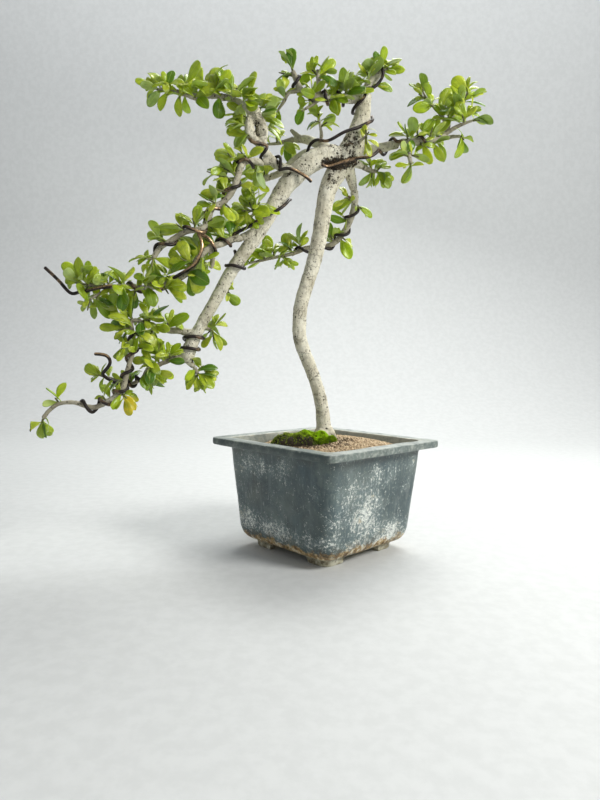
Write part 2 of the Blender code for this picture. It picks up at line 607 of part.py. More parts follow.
def nearest_bar(foot, bars):
    """Direction, place along and radius of the bar that a foot stands on."""
    best = None
    for a, b, ra, rb in bars:
        along = b - a
        t = min(1.0, max(0.0, (foot - a).dot(along) / along.length_squared))
        away = (foot - (a + along * t)).length
        if best is None or away < best[0]:
            best = (away, along.normalized(), ra + (rb - ra) * t)
    return best


def draw_leaf(draw, spur, k, length, bars):
    """One try for leaf number k of a spur."""
    foot = Vector(spur[0])
    tip = Vector(spur[1])
    ahead = (tip - foot).normalized()
    e1 = ahead.orthogonal().normalized()
    e2 = ahead.cross(e1)
    if k == 0:
        lean = math.radians(draw.uniform(5, 30))
    else:
        lean = math.radians(draw.uniform(30, 75))
    turn = 2.4 * k + draw.uniform(-0.9, 0.9) + draw.uniform(0, math.tau) * (k == 0)
    along = ahead * math.cos(lean) + (e1 * math.cos(turn) + e2 * math.sin(turn)) * math.sin(lean)
    if draw.random() < FACING:
        along.y *= 0.55
        up = Vector((draw.uniform(-0.5, 0.5), draw.uniform(-1.0, -0.3), draw.uniform(0.0, 0.8)))
    else:
        up = Vector((draw.uniform(-0.7, 0.7), draw.uniform(-0.5, 0.6), draw.uniform(0.2, 1.0)))
    along.z += 0.12
    along.normalize()
    up = up - along * up.dot(along)
    if up.length < 0.2:
        up = along.orthogonal()
    up.normalize()
    long = length * draw.uniform(0.8, 1.2)
    width = long * draw.uniform(0.58, 0.72)
    base = tip - ahead * (0.9 + 1.5 * k)
    if spur[2] < 4:
        _, grain, radius = nearest_bar(foot, bars)
        base = foot + grain * draw.uniform(-4.0, 4.0)
        if nearest_bar(base, bars)[0] > 0.3 * radius:
            base = foot
        depth = -0.5
        if ahead.cross(grain).length > 0.5 and radius > 1.3:
            depth = radius - 1.8
        base = base + ahead * depth
        long += min(5.0, 0.45 * (tip - foot).length)
    return base, along, up, long, width, draw.uniform(-0.04, 0.22)


def shell(route, extra, sides=8):
    """A bar's skin as corners and faces, made a little thicker, for the tests of the leaves."""
    points, _, tangents, side_rows = frames(route)
    corners = []
    for p, tangent, side, row in zip(points, tangents, side_rows, route):
        for s in range(sides):
            a = math.tau * s / sides
            out = side * math.cos(a) + tangent.cross(side) * math.sin(a)
            corners.append(p + out * (row[3] + extra))
    faces = []
    for i in range(len(points) - 1):
        for s in range(sides):
            t = (s + 1) % sides
            faces.append((i * sides + s, i * sides + t, (i + 1) * sides + t, (i + 1) * sides + s))
    faces.append(tuple(range(sides)))
    faces.append(tuple(range((len(points) - 1) * sides, len(points) * sides)))
    return corners, faces


class Solid:
    """A skin with a box round it, to see quickly whether two skins cross."""

    def __init__(self, owner, corners, faces):
        self.owner = owner
        self.tree = BVHTree.FromPolygons(corners, faces)
        self.low = [min(c[i] for c in corners) for i in range(3)]
        self.high = [max(c[i] for c in corners) for i in range(3)]

    def meets(self, other):
        for i in range(3):
            if self.low[i] > other.high[i] or other.low[i] > self.high[i]:
                return False
        return bool(self.tree.overlap(other.tree))


def grow_leaves(wood, stems, wires):
    """The leaves of every stem, each rooted in its own wood and none through a bar, a wire or another leaf."""
    bars = [Solid("wood", *shell(route, BLADE_GAP)) for route in wood.values()]
    for stem, routes in stems.items():
        bars.extend(Solid(stem, *shell(route, BLADE_GAP)) for route in routes)
    bars.extend(Solid("wire", *shell(route, BLADE_GAP)) for route in wires.values())
    grown = []
    out = {}
    for stem, data in STEMS.items():
        out[stem] = []
        held = []
        for route in stems[stem][:len(data["bars"])]:
            held.extend(segments(route))
        own = [Solid(stem, *shell(route, -0.45)) for route in stems[stem]]
        for index, spur in enumerate(data["spurs"]):
            for k in range(spur[2]):
                draw = random.Random("%s spur %d leaf %d" % (stem, index, k))
                for _ in range(90):
                    leaf = draw_leaf(draw, spur, k, spur[3], held)
                    whole = Solid(stem, *blade_points(leaf, BLADE + 2 * BLADE_GAP))
                    ahead = leaf[1] * 3.2
                    part = (leaf[0] + ahead, leaf[1], leaf[2], leaf[3] - 3.2, leaf[4], leaf[5])
                    free = Solid(stem, *blade_points(part, BLADE + 2 * BLADE_GAP))
                    if not any(Solid(stem, *blade_points(leaf, BLADE)).meets(b) for b in own):
                        continue
                    if any((free if g.owner == (stem, index) else whole).meets(g) for g in grown):
                        continue
                    if any((free if b.owner == stem else whole).meets(b) for b in bars):
                        continue
                    whole.owner = (stem, index)
                    grown.append(whole)
                    out[stem].append(leaf)
                    break
    return out


# Meshes
def skin(name, corners, faces):
    """A mesh object from corners and faces, its faces turned outward."""
    mesh = bpy.data.meshes.new(name)
    mesh.from_pydata([tuple(c) for c in corners], [], [tuple(f) for f in faces])
    bm = bmesh.new()
    bm.from_mesh(mesh)
    bmesh.ops.recalc_face_normals(bm, faces=bm.faces)
    bm.to_mesh(mesh)
    bm.free()
    return bpy.data.objects.new(name, mesh)


def bar(name, route, sides):
    """A round bar through a route, swept by a curve and closed at both ends."""
    curve = bpy.data.curves.new(name + "_line", "CURVE")
    curve.dimensions = "3D"
    curve.bevel_depth = 1.0
    curve.bevel_resolution = (sides - 4) // 2
    curve.use_fill_caps = True
    spline = curve.splines.new("POLY")
    spline.points.add(len(route) - 1)
    for point, row in zip(spline.points, route):
        point.co = (row[0], row[1], row[2], 1.0)
        point.radius = row[3]
    line = bpy.data.objects.new(name + "_line", curve)
    bpy.context.scene.collection.objects.link(line)
    bpy.context.view_layer.update()
    graph = bpy.context.evaluated_depsgraph_get()
    mesh = bpy.data.meshes.new_from_object(line.evaluated_get(graph))
    bm = bmesh.new()
    bm.from_mesh(mesh)
    bmesh.ops.remove_doubles(bm, verts=bm.verts, dist=0.0001)
    bmesh.ops.recalc_face_normals(bm, faces=bm.faces)
    bm.to_mesh(mesh)
    bm.free()
    bpy.data.objects.remove(line)
    return bpy.data.objects.new(name, mesh)


def drop_flat_edges(mesh):
    """Drop edges between flat neighbours. Where that would open the skin, its surroundings are left as they were."""
    kept = []
    for _ in range(8):
        bm = bmesh.new()
        bm.from_mesh(mesh)
        verts = [v for v in bm.verts if all((v.co - k).length > 2.5 for k in kept)]
        chosen = set(verts)
        edges = [e for e in bm.edges if e.verts[0] in chosen and e.verts[1] in chosen]
        bmesh.ops.dissolve_limit(bm, angle_limit=0.002, verts=verts, edges=edges)
        bmesh.ops.triangulate(bm, faces=bm.faces)
        torn = [e for e in bm.edges if not e.is_manifold]
        if not torn:
            bm.to_mesh(mesh)
        kept.extend(e.verts[0].co.copy() for e in torn)
        kept.extend(e.verts[1].co.copy() for e in torn)
        bm.free()
        if not torn:
            return


def drop_crumbs(mesh):
    """Keep the largest closed body of a mesh and drop slivers that a join left beside it."""
    bm = bmesh.new()
    bm.from_mesh(mesh)
    left = set(bm.verts)
    bodies = []
    while left:
        found = {left.pop()}
        edge = list(found)
        while edge:
            for link in edge.pop().link_edges:
                for v in link.verts:
                    if v in left:
                        left.discard(v)
                        found.add(v)
                        edge.append(v)
        bodies.append(found)
    bodies.sort(key=len)
    crumbs = [v for body in bodies[:-1] for v in body]
    bmesh.ops.delete(bm, geom=crumbs, context="VERTS")
    bm.to_mesh(mesh)
    bm.free()


def fuse(name, pieces):
    """Join closed pieces into one closed body."""
    first = pieces[0]
    bpy.context.scene.collection.objects.link(first)
    group = bpy.data.collections.new(name + "_joined")
    bpy.context.scene.collection.children.link(group)
    for piece in pieces[1:]:
        group.objects.link(piece)
    union = first.modifiers.new("union", "BOOLEAN")
    union.operation = "UNION"
    union.operand_type = "COLLECTION"
    union.collection = group
    union.solver = "MANIFOLD"
    bpy.context.view_layer.update()
    graph = bpy.context.evaluated_depsgraph_get()
    mesh = bpy.data.meshes.new_from_object(first.evaluated_get(graph))
    drop_flat_edges(mesh)
    drop_crumbs(mesh)
    for piece in pieces:
        bpy.data.objects.remove(piece)
    bpy.data.collections.remove(group)
    return bpy.data.objects.new(name, mesh)


def cut(name, body, cutters):
    """Take cutters out of a body."""
    bpy.context.scene.collection.objects.link(body)
    group = bpy.data.collections.new(name + "_cutters")
    bpy.context.scene.collection.children.link(group)
    for cutter in cutters:
        group.objects.link(cutter)
        cutter.hide_render = True
        cutter.display_type = "WIRE"
        step = body.modifiers.new("cut", "BOOLEAN")
        step.operation = "DIFFERENCE"
        step.object = cutter
        step.solver = "EXACT"
    bpy.context.view_layer.update()
    graph = bpy.context.evaluated_depsgraph_get()
    mesh = bpy.data.meshes.new_from_object(body.evaluated_get(graph))
    for piece in [body] + cutters:
        bpy.data.objects.remove(piece)
    bpy.data.collections.remove(group)
    return bpy.data.objects.new(name, mesh)


def paint(name, colour, roughness, metallic):
    """A plain Principled material."""
    material = bpy.data.materials.new(name)
    material.use_nodes = True
    shader = material.node_tree.nodes["Principled BSDF"]
    shader.inputs["Base Color"].default_value = (*colour, 1.0)
    shader.inputs["Roughness"].default_value = roughness
    shader.inputs["Metallic"].default_value = metallic
    return material


# Pot, soil and moss
def square_ring(side, corner, z):
    """A square with rounded corners, turned like the pot."""
    turn = math.radians(POT_TURN)
    half = side / 2 - corner
    out = []
    for quarter in range(4):
        start = math.pi / 2 * quarter
        cx = half * (1 if quarter in (0, 3) else -1)
        cy = half * (1 if quarter in (0, 1) else -1)
        for k in range(CORNER_STEPS + 1):
            a = start + math.pi / 2 * k / CORNER_STEPS
            x = cx + corner * math.cos(a)
            y = cy + corner * math.sin(a)
            out.append(Vector((x * math.cos(turn) - y * math.sin(turn),
                               x * math.sin(turn) + y * math.cos(turn), z)))
    return out


def loft(name, rings):
    """A closed body through a run of rings, flat at both ends."""
    count = len(rings[0])
    corners = [p for ring in rings for p in ring]
    faces = [tuple(range(count))]
    for i in range(len(rings) - 1):
        for k in range(count):
            j = (k + 1) % count
            faces.append((i * count + k, i * count + j, (i + 1) * count + j, (i + 1) * count + k))
    faces.append(tuple(range((len(rings) - 1) * count, len(rings) * count)))
    return skin(name, corners, faces)


def inner_side(z):
    """Side of the pot's inside at a height."""
    rows = [(FLOOR_TOP, 98.0), (22.0, 107.0), (94.5, 121.0), (101.2, MOUTH_SIDE)]
    for (z0, s0), (z1, s1) in zip(rows[:-1], rows[1:]):
        if z <= z1:
            return s0 + (s1 - s0) * (z - z0) / (z1 - z0)
    return rows[-1][1]


def make_pot():
    """Square pot with rim, rounded edges, four feet and a drain hole."""
    rings = [
        square_ring(FOOT_SIDE, 8, 0), square_ring(FOOT_SIDE + 1, 8, 5.5), square_ring(108, 11, 9),
        square_ring(115, 12, 14), square_ring(118, 12, 20), square_ring(NECK_SIDE, 12, 93.5),
        square_ring(RIM_SIDE - 2, RIM_CORNER - 0.7, RIM_UNDER), square_ring(RIM_SIDE, RIM_CORNER, RIM_UNDER + 1.3),
        square_ring(RIM_SIDE, RIM_CORNER, RIM_TOP - 1.3), square_ring(RIM_SIDE - 1.6, RIM_CORNER - 0.5, RIM_TOP),
        square_ring(127.6, 8.4, RIM_TOP), square_ring(MOUTH_SIDE, 8, 101.2), square_ring(121, 8, 94.5),
        square_ring(107, 8, 22), square_ring(98, 7, FLOOR_TOP),
    ]
    body = loft("pot_body", rings)
    cutters = []
    for turn in (POT_TURN, POT_TURN + 90):
        low = ARCH_WIDTH / 2
        profile = [(-low - 1, -5), (-low + 1.5, FOOT_HEIGHT - 1.5), (-low + 4, FOOT_HEIGHT),
                   (low - 4, FOOT_HEIGHT), (low - 1.5, FOOT_HEIGHT - 1.5), (low + 1, -5)]
        spin = Matrix.Rotation(math.radians(turn), 4, "Z")
        corners = []
        for y in (-90.0, 90.0):
            for x, z in profile:
                corners.append(spin @ Vector((x, y, z)))
        count = len(profile)
        faces = [tuple(range(count)), tuple(range(count, 2 * count))]
        for k in range(count):
            j = (k + 1) % count
            faces.append((k, j, j + count, k + count))
        cutters.append(skin("arch", corners, faces))
    bpy.ops.mesh.primitive_cylinder_add(vertices=16, radius=DRAIN_RADIUS, depth=40, location=(0, 0, 8))
    drain = bpy.context.object
    for user in list(drain.users_collection):
        user.objects.unlink(drain)
    cutters.append(drain)
    return cut("pot", body, cutters)


def mound(x, y):
    """Height of the soil."""
    away = math.hypot(x, y)
    return SOIL_PEAK - SOIL_DROP * (away / SOIL_REACH) ** 1.7 - SOIL_LEFT_DROP * max(0.0, (-x - 42.0) / 45.0)


def make_soil():
    """Mounded soil with a plain hole for the trunk."""
    rings = [square_ring(97.0, 6.7, FLOOR_TOP + 0.35), square_ring(106.3, 7.7, 22.1), square_ring(117.0, 7.5, 78.0)]
    edge = []
    for p in square_ring(118.9, 7.6, 0):
        z = mound(p.x, p.y)
        scale = (inner_side(z) - 0.8) / 118.9
        edge.append(Vector((p.x * scale, p.y * scale, mound(p.x * scale, p.y * scale))))
    hole = []
    for k in range(len(edge)):
        a = math.radians(POT_TURN + 45) + math.tau * (k - CORNER_STEPS / 2) / len(edge)
        hole.append(Vector((TRUNK_HOLE_RADIUS * math.cos(a), TRUNK_HOLE_RADIUS * math.sin(a), 0)))
    rings.append(edge)
    for share in (0.25, 0.5, 0.75, 1.0):
        ring = []
        for e, h in zip(edge, hole):
            x = e.x + (h.x - e.x) * share
            y = e.y + (h.y - e.y) * share
            ring.append(Vector((x, y, mound(x, y))))
        rings.append(ring)
    rings.append([Vector((h.x, h.y, TRUNK_HOLE_FLOOR)) for h in hole])
    return loft("soil", rings)


def make_moss():
    """A low lumpy cushion that lies on the mound."""
    around = 16
    shares = (1.0, 0.90, 0.5)
    draw = random.Random("moss")
    tops = []
    bottoms = []
    for share in shares:
        for k in range(around):
            a = math.tau * k / around
            wave = 1 + 0.07 * math.sin(3 * a + 1) + 0.05 * math.sin(5 * a)
            x = MOSS_CENTRE[0] + MOSS_HALF[0] * share * wave * math.cos(a)
            y = MOSS_CENTRE[1] + MOSS_HALF[1] * share * wave * math.sin(a)
            rise = 1.2 + MOSS_RISE * (1 - share ** 4) ** 0.5 * draw.uniform(0.82, 1.05)
            bottoms.append(Vector((x, y, mound(x, y) + 0.4)))
            tops.append(Vector((x, y, mound(x, y) + 0.4 + rise)))
    x, y = MOSS_CENTRE
    tops.append(Vector((x, y, mound(x, y) + MOSS_RISE + 1.6)))
    bottoms.append(Vector((x, y, mound(x, y) + 0.4)))
    total = len(tops)
    faces = []
    for i in range(len(shares) - 1):
        for k in range(around):
            j = (k + 1) % around
            a, b, c, d = i * around + k, i * around + j, (i + 1) * around + j, (i + 1) * around + k
            faces.append((a, b, c))
            faces.append((a, c, d))
            faces.append((c + total, b + total, a + total))
            faces.append((d + total, c + total, a + total))
    last = (len(shares) - 1) * around
    for k in range(around):
        j = (k + 1) % around
        faces.append((last + k, last + j, total - 1))
        faces.append((last + j + total, last + k + total, 2 * total - 1))
        faces.append((k, k + total, j + total))
        faces.append((k, j + total, j))
    return skin("moss", tops + bottoms, faces)


# Wood, stems and wires as meshes
def make_wood(wood):
    """Trunk, limb and the first lengths of all branches, grown together."""
    pieces = []
    for name, route in wood.items():
        if route[-1][3] < 3.0:
            sides = 6
        else:
            sides = 8
        pieces.append(bar(name, route, sides))
    return fuse("tree_wood", pieces)


def make_stem(stem, routes, leaves):
    """A leafy stem: bars, short shoots and blades joined into one body."""
    bars = len(STEMS[stem]["bars"])
    pieces = []
    for index, route in enumerate(routes):
        thick = max(row[3] for row in route)
        if index >= bars:
            sides = 4
        elif thick > 3.3:
            sides = 8
        else:
            sides = 6
        pieces.append(bar("%s_bar_%d" % (stem, index), route, sides))
    corners = []
    faces = []
    for leaf in leaves:
        points, parts = blade_points(leaf, BLADE)
        faces.extend(tuple(i + len(corners) for i in part) for part in parts)
        corners.extend(points)
    pieces.append(skin(stem + "_blades", corners, faces))
    return fuse(stem, pieces)


def main():
    """Build every piece and bring the whole to its frame."""
    for ob in list(bpy.data.objects):
        bpy.data.objects.remove(ob)
    wood = wood_routes()
    stems = {stem: stem_routes(stem) for stem in STEMS}
    wires = wire_routes(wood, stems)
    leaves = grow_leaves(wood, stems, wires)
    glaze = paint("glaze_slate_blue", (0.115, 0.135, 0.155), 0.38, 0.0)
    earth = paint("soil_granules", (0.21, 0.145, 0.11), 0.95, 0.0)
    green = paint("moss_green", (0.12, 0.20, 0.03), 0.95, 0.0)
    bark = paint("bark_grey_cream", (0.42, 0.36, 0.28), 0.85, 0.0)
    leaf = paint("leaf_green", (0.10, 0.22, 0.025), 0.35, 0.0)
    copper = paint("wire_dark_copper", (0.16, 0.075, 0.04), 0.42, 1.0)
    made = [(make_pot(), glaze), (make_soil(), earth), (make_moss(), green), (make_wood(wood), bark)]
    for stem in STEMS:
        made.append((make_stem(stem, stems[stem], leaves[stem]), leaf))
    for name, route in wires.items():
        made.append((bar(name, route, 4), copper))
    parts = bpy.data.collections.new("fukien_tea_bonsai")
    bpy.context.scene.collection.children.link(parts)
    low = Vector((1e9, 1e9, 1e9))
    high = Vector((-1e9, -1e9, -1e9))
    for ob, material in made:
        ob.data.transform(Matrix.Scale(TO_METRES, 4))
        ob.data.materials.clear()
        ob.data.materials.append(material)
        smooth = material in (bark, green)
        for face in ob.data.polygons:
            face.use_smooth = smooth
            face.material_index = 0
        parts.objects.link(ob)
        for vertex in ob.data.vertices:
            for i in range(3):
                low[i] = min(low[i], vertex.co[i])
                high[i] = max(high[i], vertex.co[i])
    whole = bpy.data.objects.new("bonsai_frame", None)
    parts.objects.link(whole)
    whole.location = (-(low.x + high.x) / 2, -(low.y + high.y) / 2, -low.z)
    for ob, _ in made:
        ob.parent = whole


main()
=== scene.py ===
import math
import random

import bmesh
import bpy
import numpy as np
from mathutils import Matrix, Vector, noise
from mathutils.bvhtree import BVHTree


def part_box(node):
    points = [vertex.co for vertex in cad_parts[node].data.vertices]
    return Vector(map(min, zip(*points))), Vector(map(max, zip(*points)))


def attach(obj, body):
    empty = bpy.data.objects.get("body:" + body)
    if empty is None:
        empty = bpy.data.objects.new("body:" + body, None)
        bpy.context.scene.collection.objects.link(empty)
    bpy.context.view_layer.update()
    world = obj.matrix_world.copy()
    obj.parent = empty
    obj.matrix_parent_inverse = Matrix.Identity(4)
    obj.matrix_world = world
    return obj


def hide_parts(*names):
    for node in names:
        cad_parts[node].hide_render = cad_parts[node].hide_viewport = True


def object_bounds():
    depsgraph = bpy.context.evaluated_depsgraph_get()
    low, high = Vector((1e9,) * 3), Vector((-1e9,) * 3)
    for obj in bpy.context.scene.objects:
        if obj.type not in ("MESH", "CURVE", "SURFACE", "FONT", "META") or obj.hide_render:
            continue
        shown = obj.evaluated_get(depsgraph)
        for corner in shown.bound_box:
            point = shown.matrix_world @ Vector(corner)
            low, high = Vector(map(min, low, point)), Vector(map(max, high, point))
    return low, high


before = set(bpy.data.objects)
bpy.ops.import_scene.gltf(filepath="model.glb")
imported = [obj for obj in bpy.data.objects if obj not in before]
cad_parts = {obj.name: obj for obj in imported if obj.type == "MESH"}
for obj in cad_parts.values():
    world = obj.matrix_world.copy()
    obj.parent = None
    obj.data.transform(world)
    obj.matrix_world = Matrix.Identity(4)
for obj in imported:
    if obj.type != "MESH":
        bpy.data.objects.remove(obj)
cad_low, cad_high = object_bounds()

# Lengths are in millimetres about the pot's centre on the table, as in the solids' source, angles in degrees
TO_METRES = 0.001
GAP = 0.3
POT_TURN = 45.0
RIM_SIDE = 154.0
RIM_CORNER = 8.0
RIM_TOP = 102.4
RIM_UNDER = 95.0
MOUTH_SIDE = 126.0
NECK_SIDE = 131.0
FLOOR_TOP = 14.0
FOOT_SIDE = 92.0
FOOT_HEIGHT = 6.5
ARCH_WIDTH = 50.0
DRAIN_RADIUS = 7.0
SOIL_PEAK = 104.0
SOIL_DROP = 13.0
SOIL_REACH = 86.0
SOIL_LEFT_DROP = 9.0
TRUNK_HOLE_RADIUS = 10.2
MOSS_CENTRE = (-23.0, -27.0)
MOSS_HALF = (29.0, 13.0)
MOSS_RISE = 9.5
WIRE_RADIUS = 1.45
BLADE = 0.7
BLADE_GAP = 0.3

# Wood that grows as one piece: x, y, z, radius
WOOD = {
    "trunk": [
        (0, 0, 72, 9.8), (0, 0, 103, 9.8), (-0.5, 0, 106, 8.9), (-1.5, 0, 111, 7.3), (-2.5, 0, 120, 6.6),
        (-4, -1, 133, 6.3), (-9, -2, 152, 6.0), (-15, -4, 168, 5.9), (-24, -5, 190, 6.2),
        (-26, -5, 207, 6.4),
        (-24, -4, 228, 6.4), (-16, 1, 256, 6.7), (-9, 3, 285, 7.2), (-3, 5, 325, 7.8), (4, 5, 343, 9.2),
        (14, 4, 359, 11.0), (22, 4, 376, 9.8), (28, 5, 394, 7.9), (30, 5, 410, 6.6), (32, 5, 419, 5.0),
    ],
    "limb": [
        (12, 4, 358, 9.6), (-2, 2, 361, 9.8), (-18, -2, 353, 9.4), (-31, -5, 341, 8.8), (-42, -8, 327, 7.9),
        (-53, -11, 307, 7.1), (-67, -14, 282, 6.4), (-84, -19, 257, 5.9), (-98, -24, 230, 5.5),
        (-111, -28, 206, 5.1), (-118, -31, 191, 5.6), (-123, -33, 178, 6.5), (-124, -33, 170, 5.2),
    ],
    "upper_left_base": [(-29, -5, 343, 4.8), (-42, -11, 345, 4.2), (-52, -14, 350, 4.1),
                        (-61, -18, 360, 4.1)],
    "mid_upper_base": [(-54, -15, 350, 3.6), (-61, -19, 347.5, 3.1)],
    "mid_lower_base": [(-64, -13, 290, 4.5), (-73, -19, 284, 3.5), (-78.5, -23, 281, 3.2)],
    "low_left_base": [(-117, -31, 196, 4.0), (-129, -34, 198, 3.1)],
    "low_bough_base": [(-123, -33, 174, 3.6), (-132, -37, 175, 2.6)],
    "back_upper_base": [(2, 6, 366, 5.2), (-11, 14, 375, 4.4), (-24, 22, 382, 4.1), (-34, 27, 383, 2.9)],
    "back_stub": [(-26, 22, 381, 3.3), (-37, 26, 392, 1.8)],
    "back_lower_base": [(0, 6, 364, 4.8), (-22, 16, 367, 3.8), (-36, 26, 361, 3.5), (-48, 33, 353, 3.3),
                        (-57, 37, 351, 3.1)],
    "top_left_base": [(30, 5, 411, 5.2), (20, 1, 411, 4.6)],
    "right_base": [(14, 4, 362, 7.2), (34, 3, 366, 4.9), (50, 1, 369, 4.2), (62, -1, 371, 3.8)],
    "right_shade_base": [(16, 4, 358, 4.4), (31, 9, 353, 2.7)],
    "back_drop_base": [(14, 6, 359, 7.0), (20, 14, 345, 4.8), (23.5, 19, 334, 3.6)],
    "limb_side_bud": [(-59, -12, 296, 2.4), (-64.5, -17.5, 301.5, 1.7)],
    "limb_middle_bud": [(-96, -24, 232, 2.2), (-93, -16.5, 233.5, 1.6)],
    "limb_low_bud": [(-112, -29, 203, 2.2), (-106, -24, 201, 1.6)],
    "knob_bud": [(-122, -33, 172, 3.2), (-117, -33, 166.5, 2.0)],
    "crotch_bud": [(-9, 12, 374, 2.6), (-8.5, 4.5, 378, 1.7)],
    "joint_bud": [(22, 3, 368, 2.4), (26, -7.5, 371, 1.6)],
}

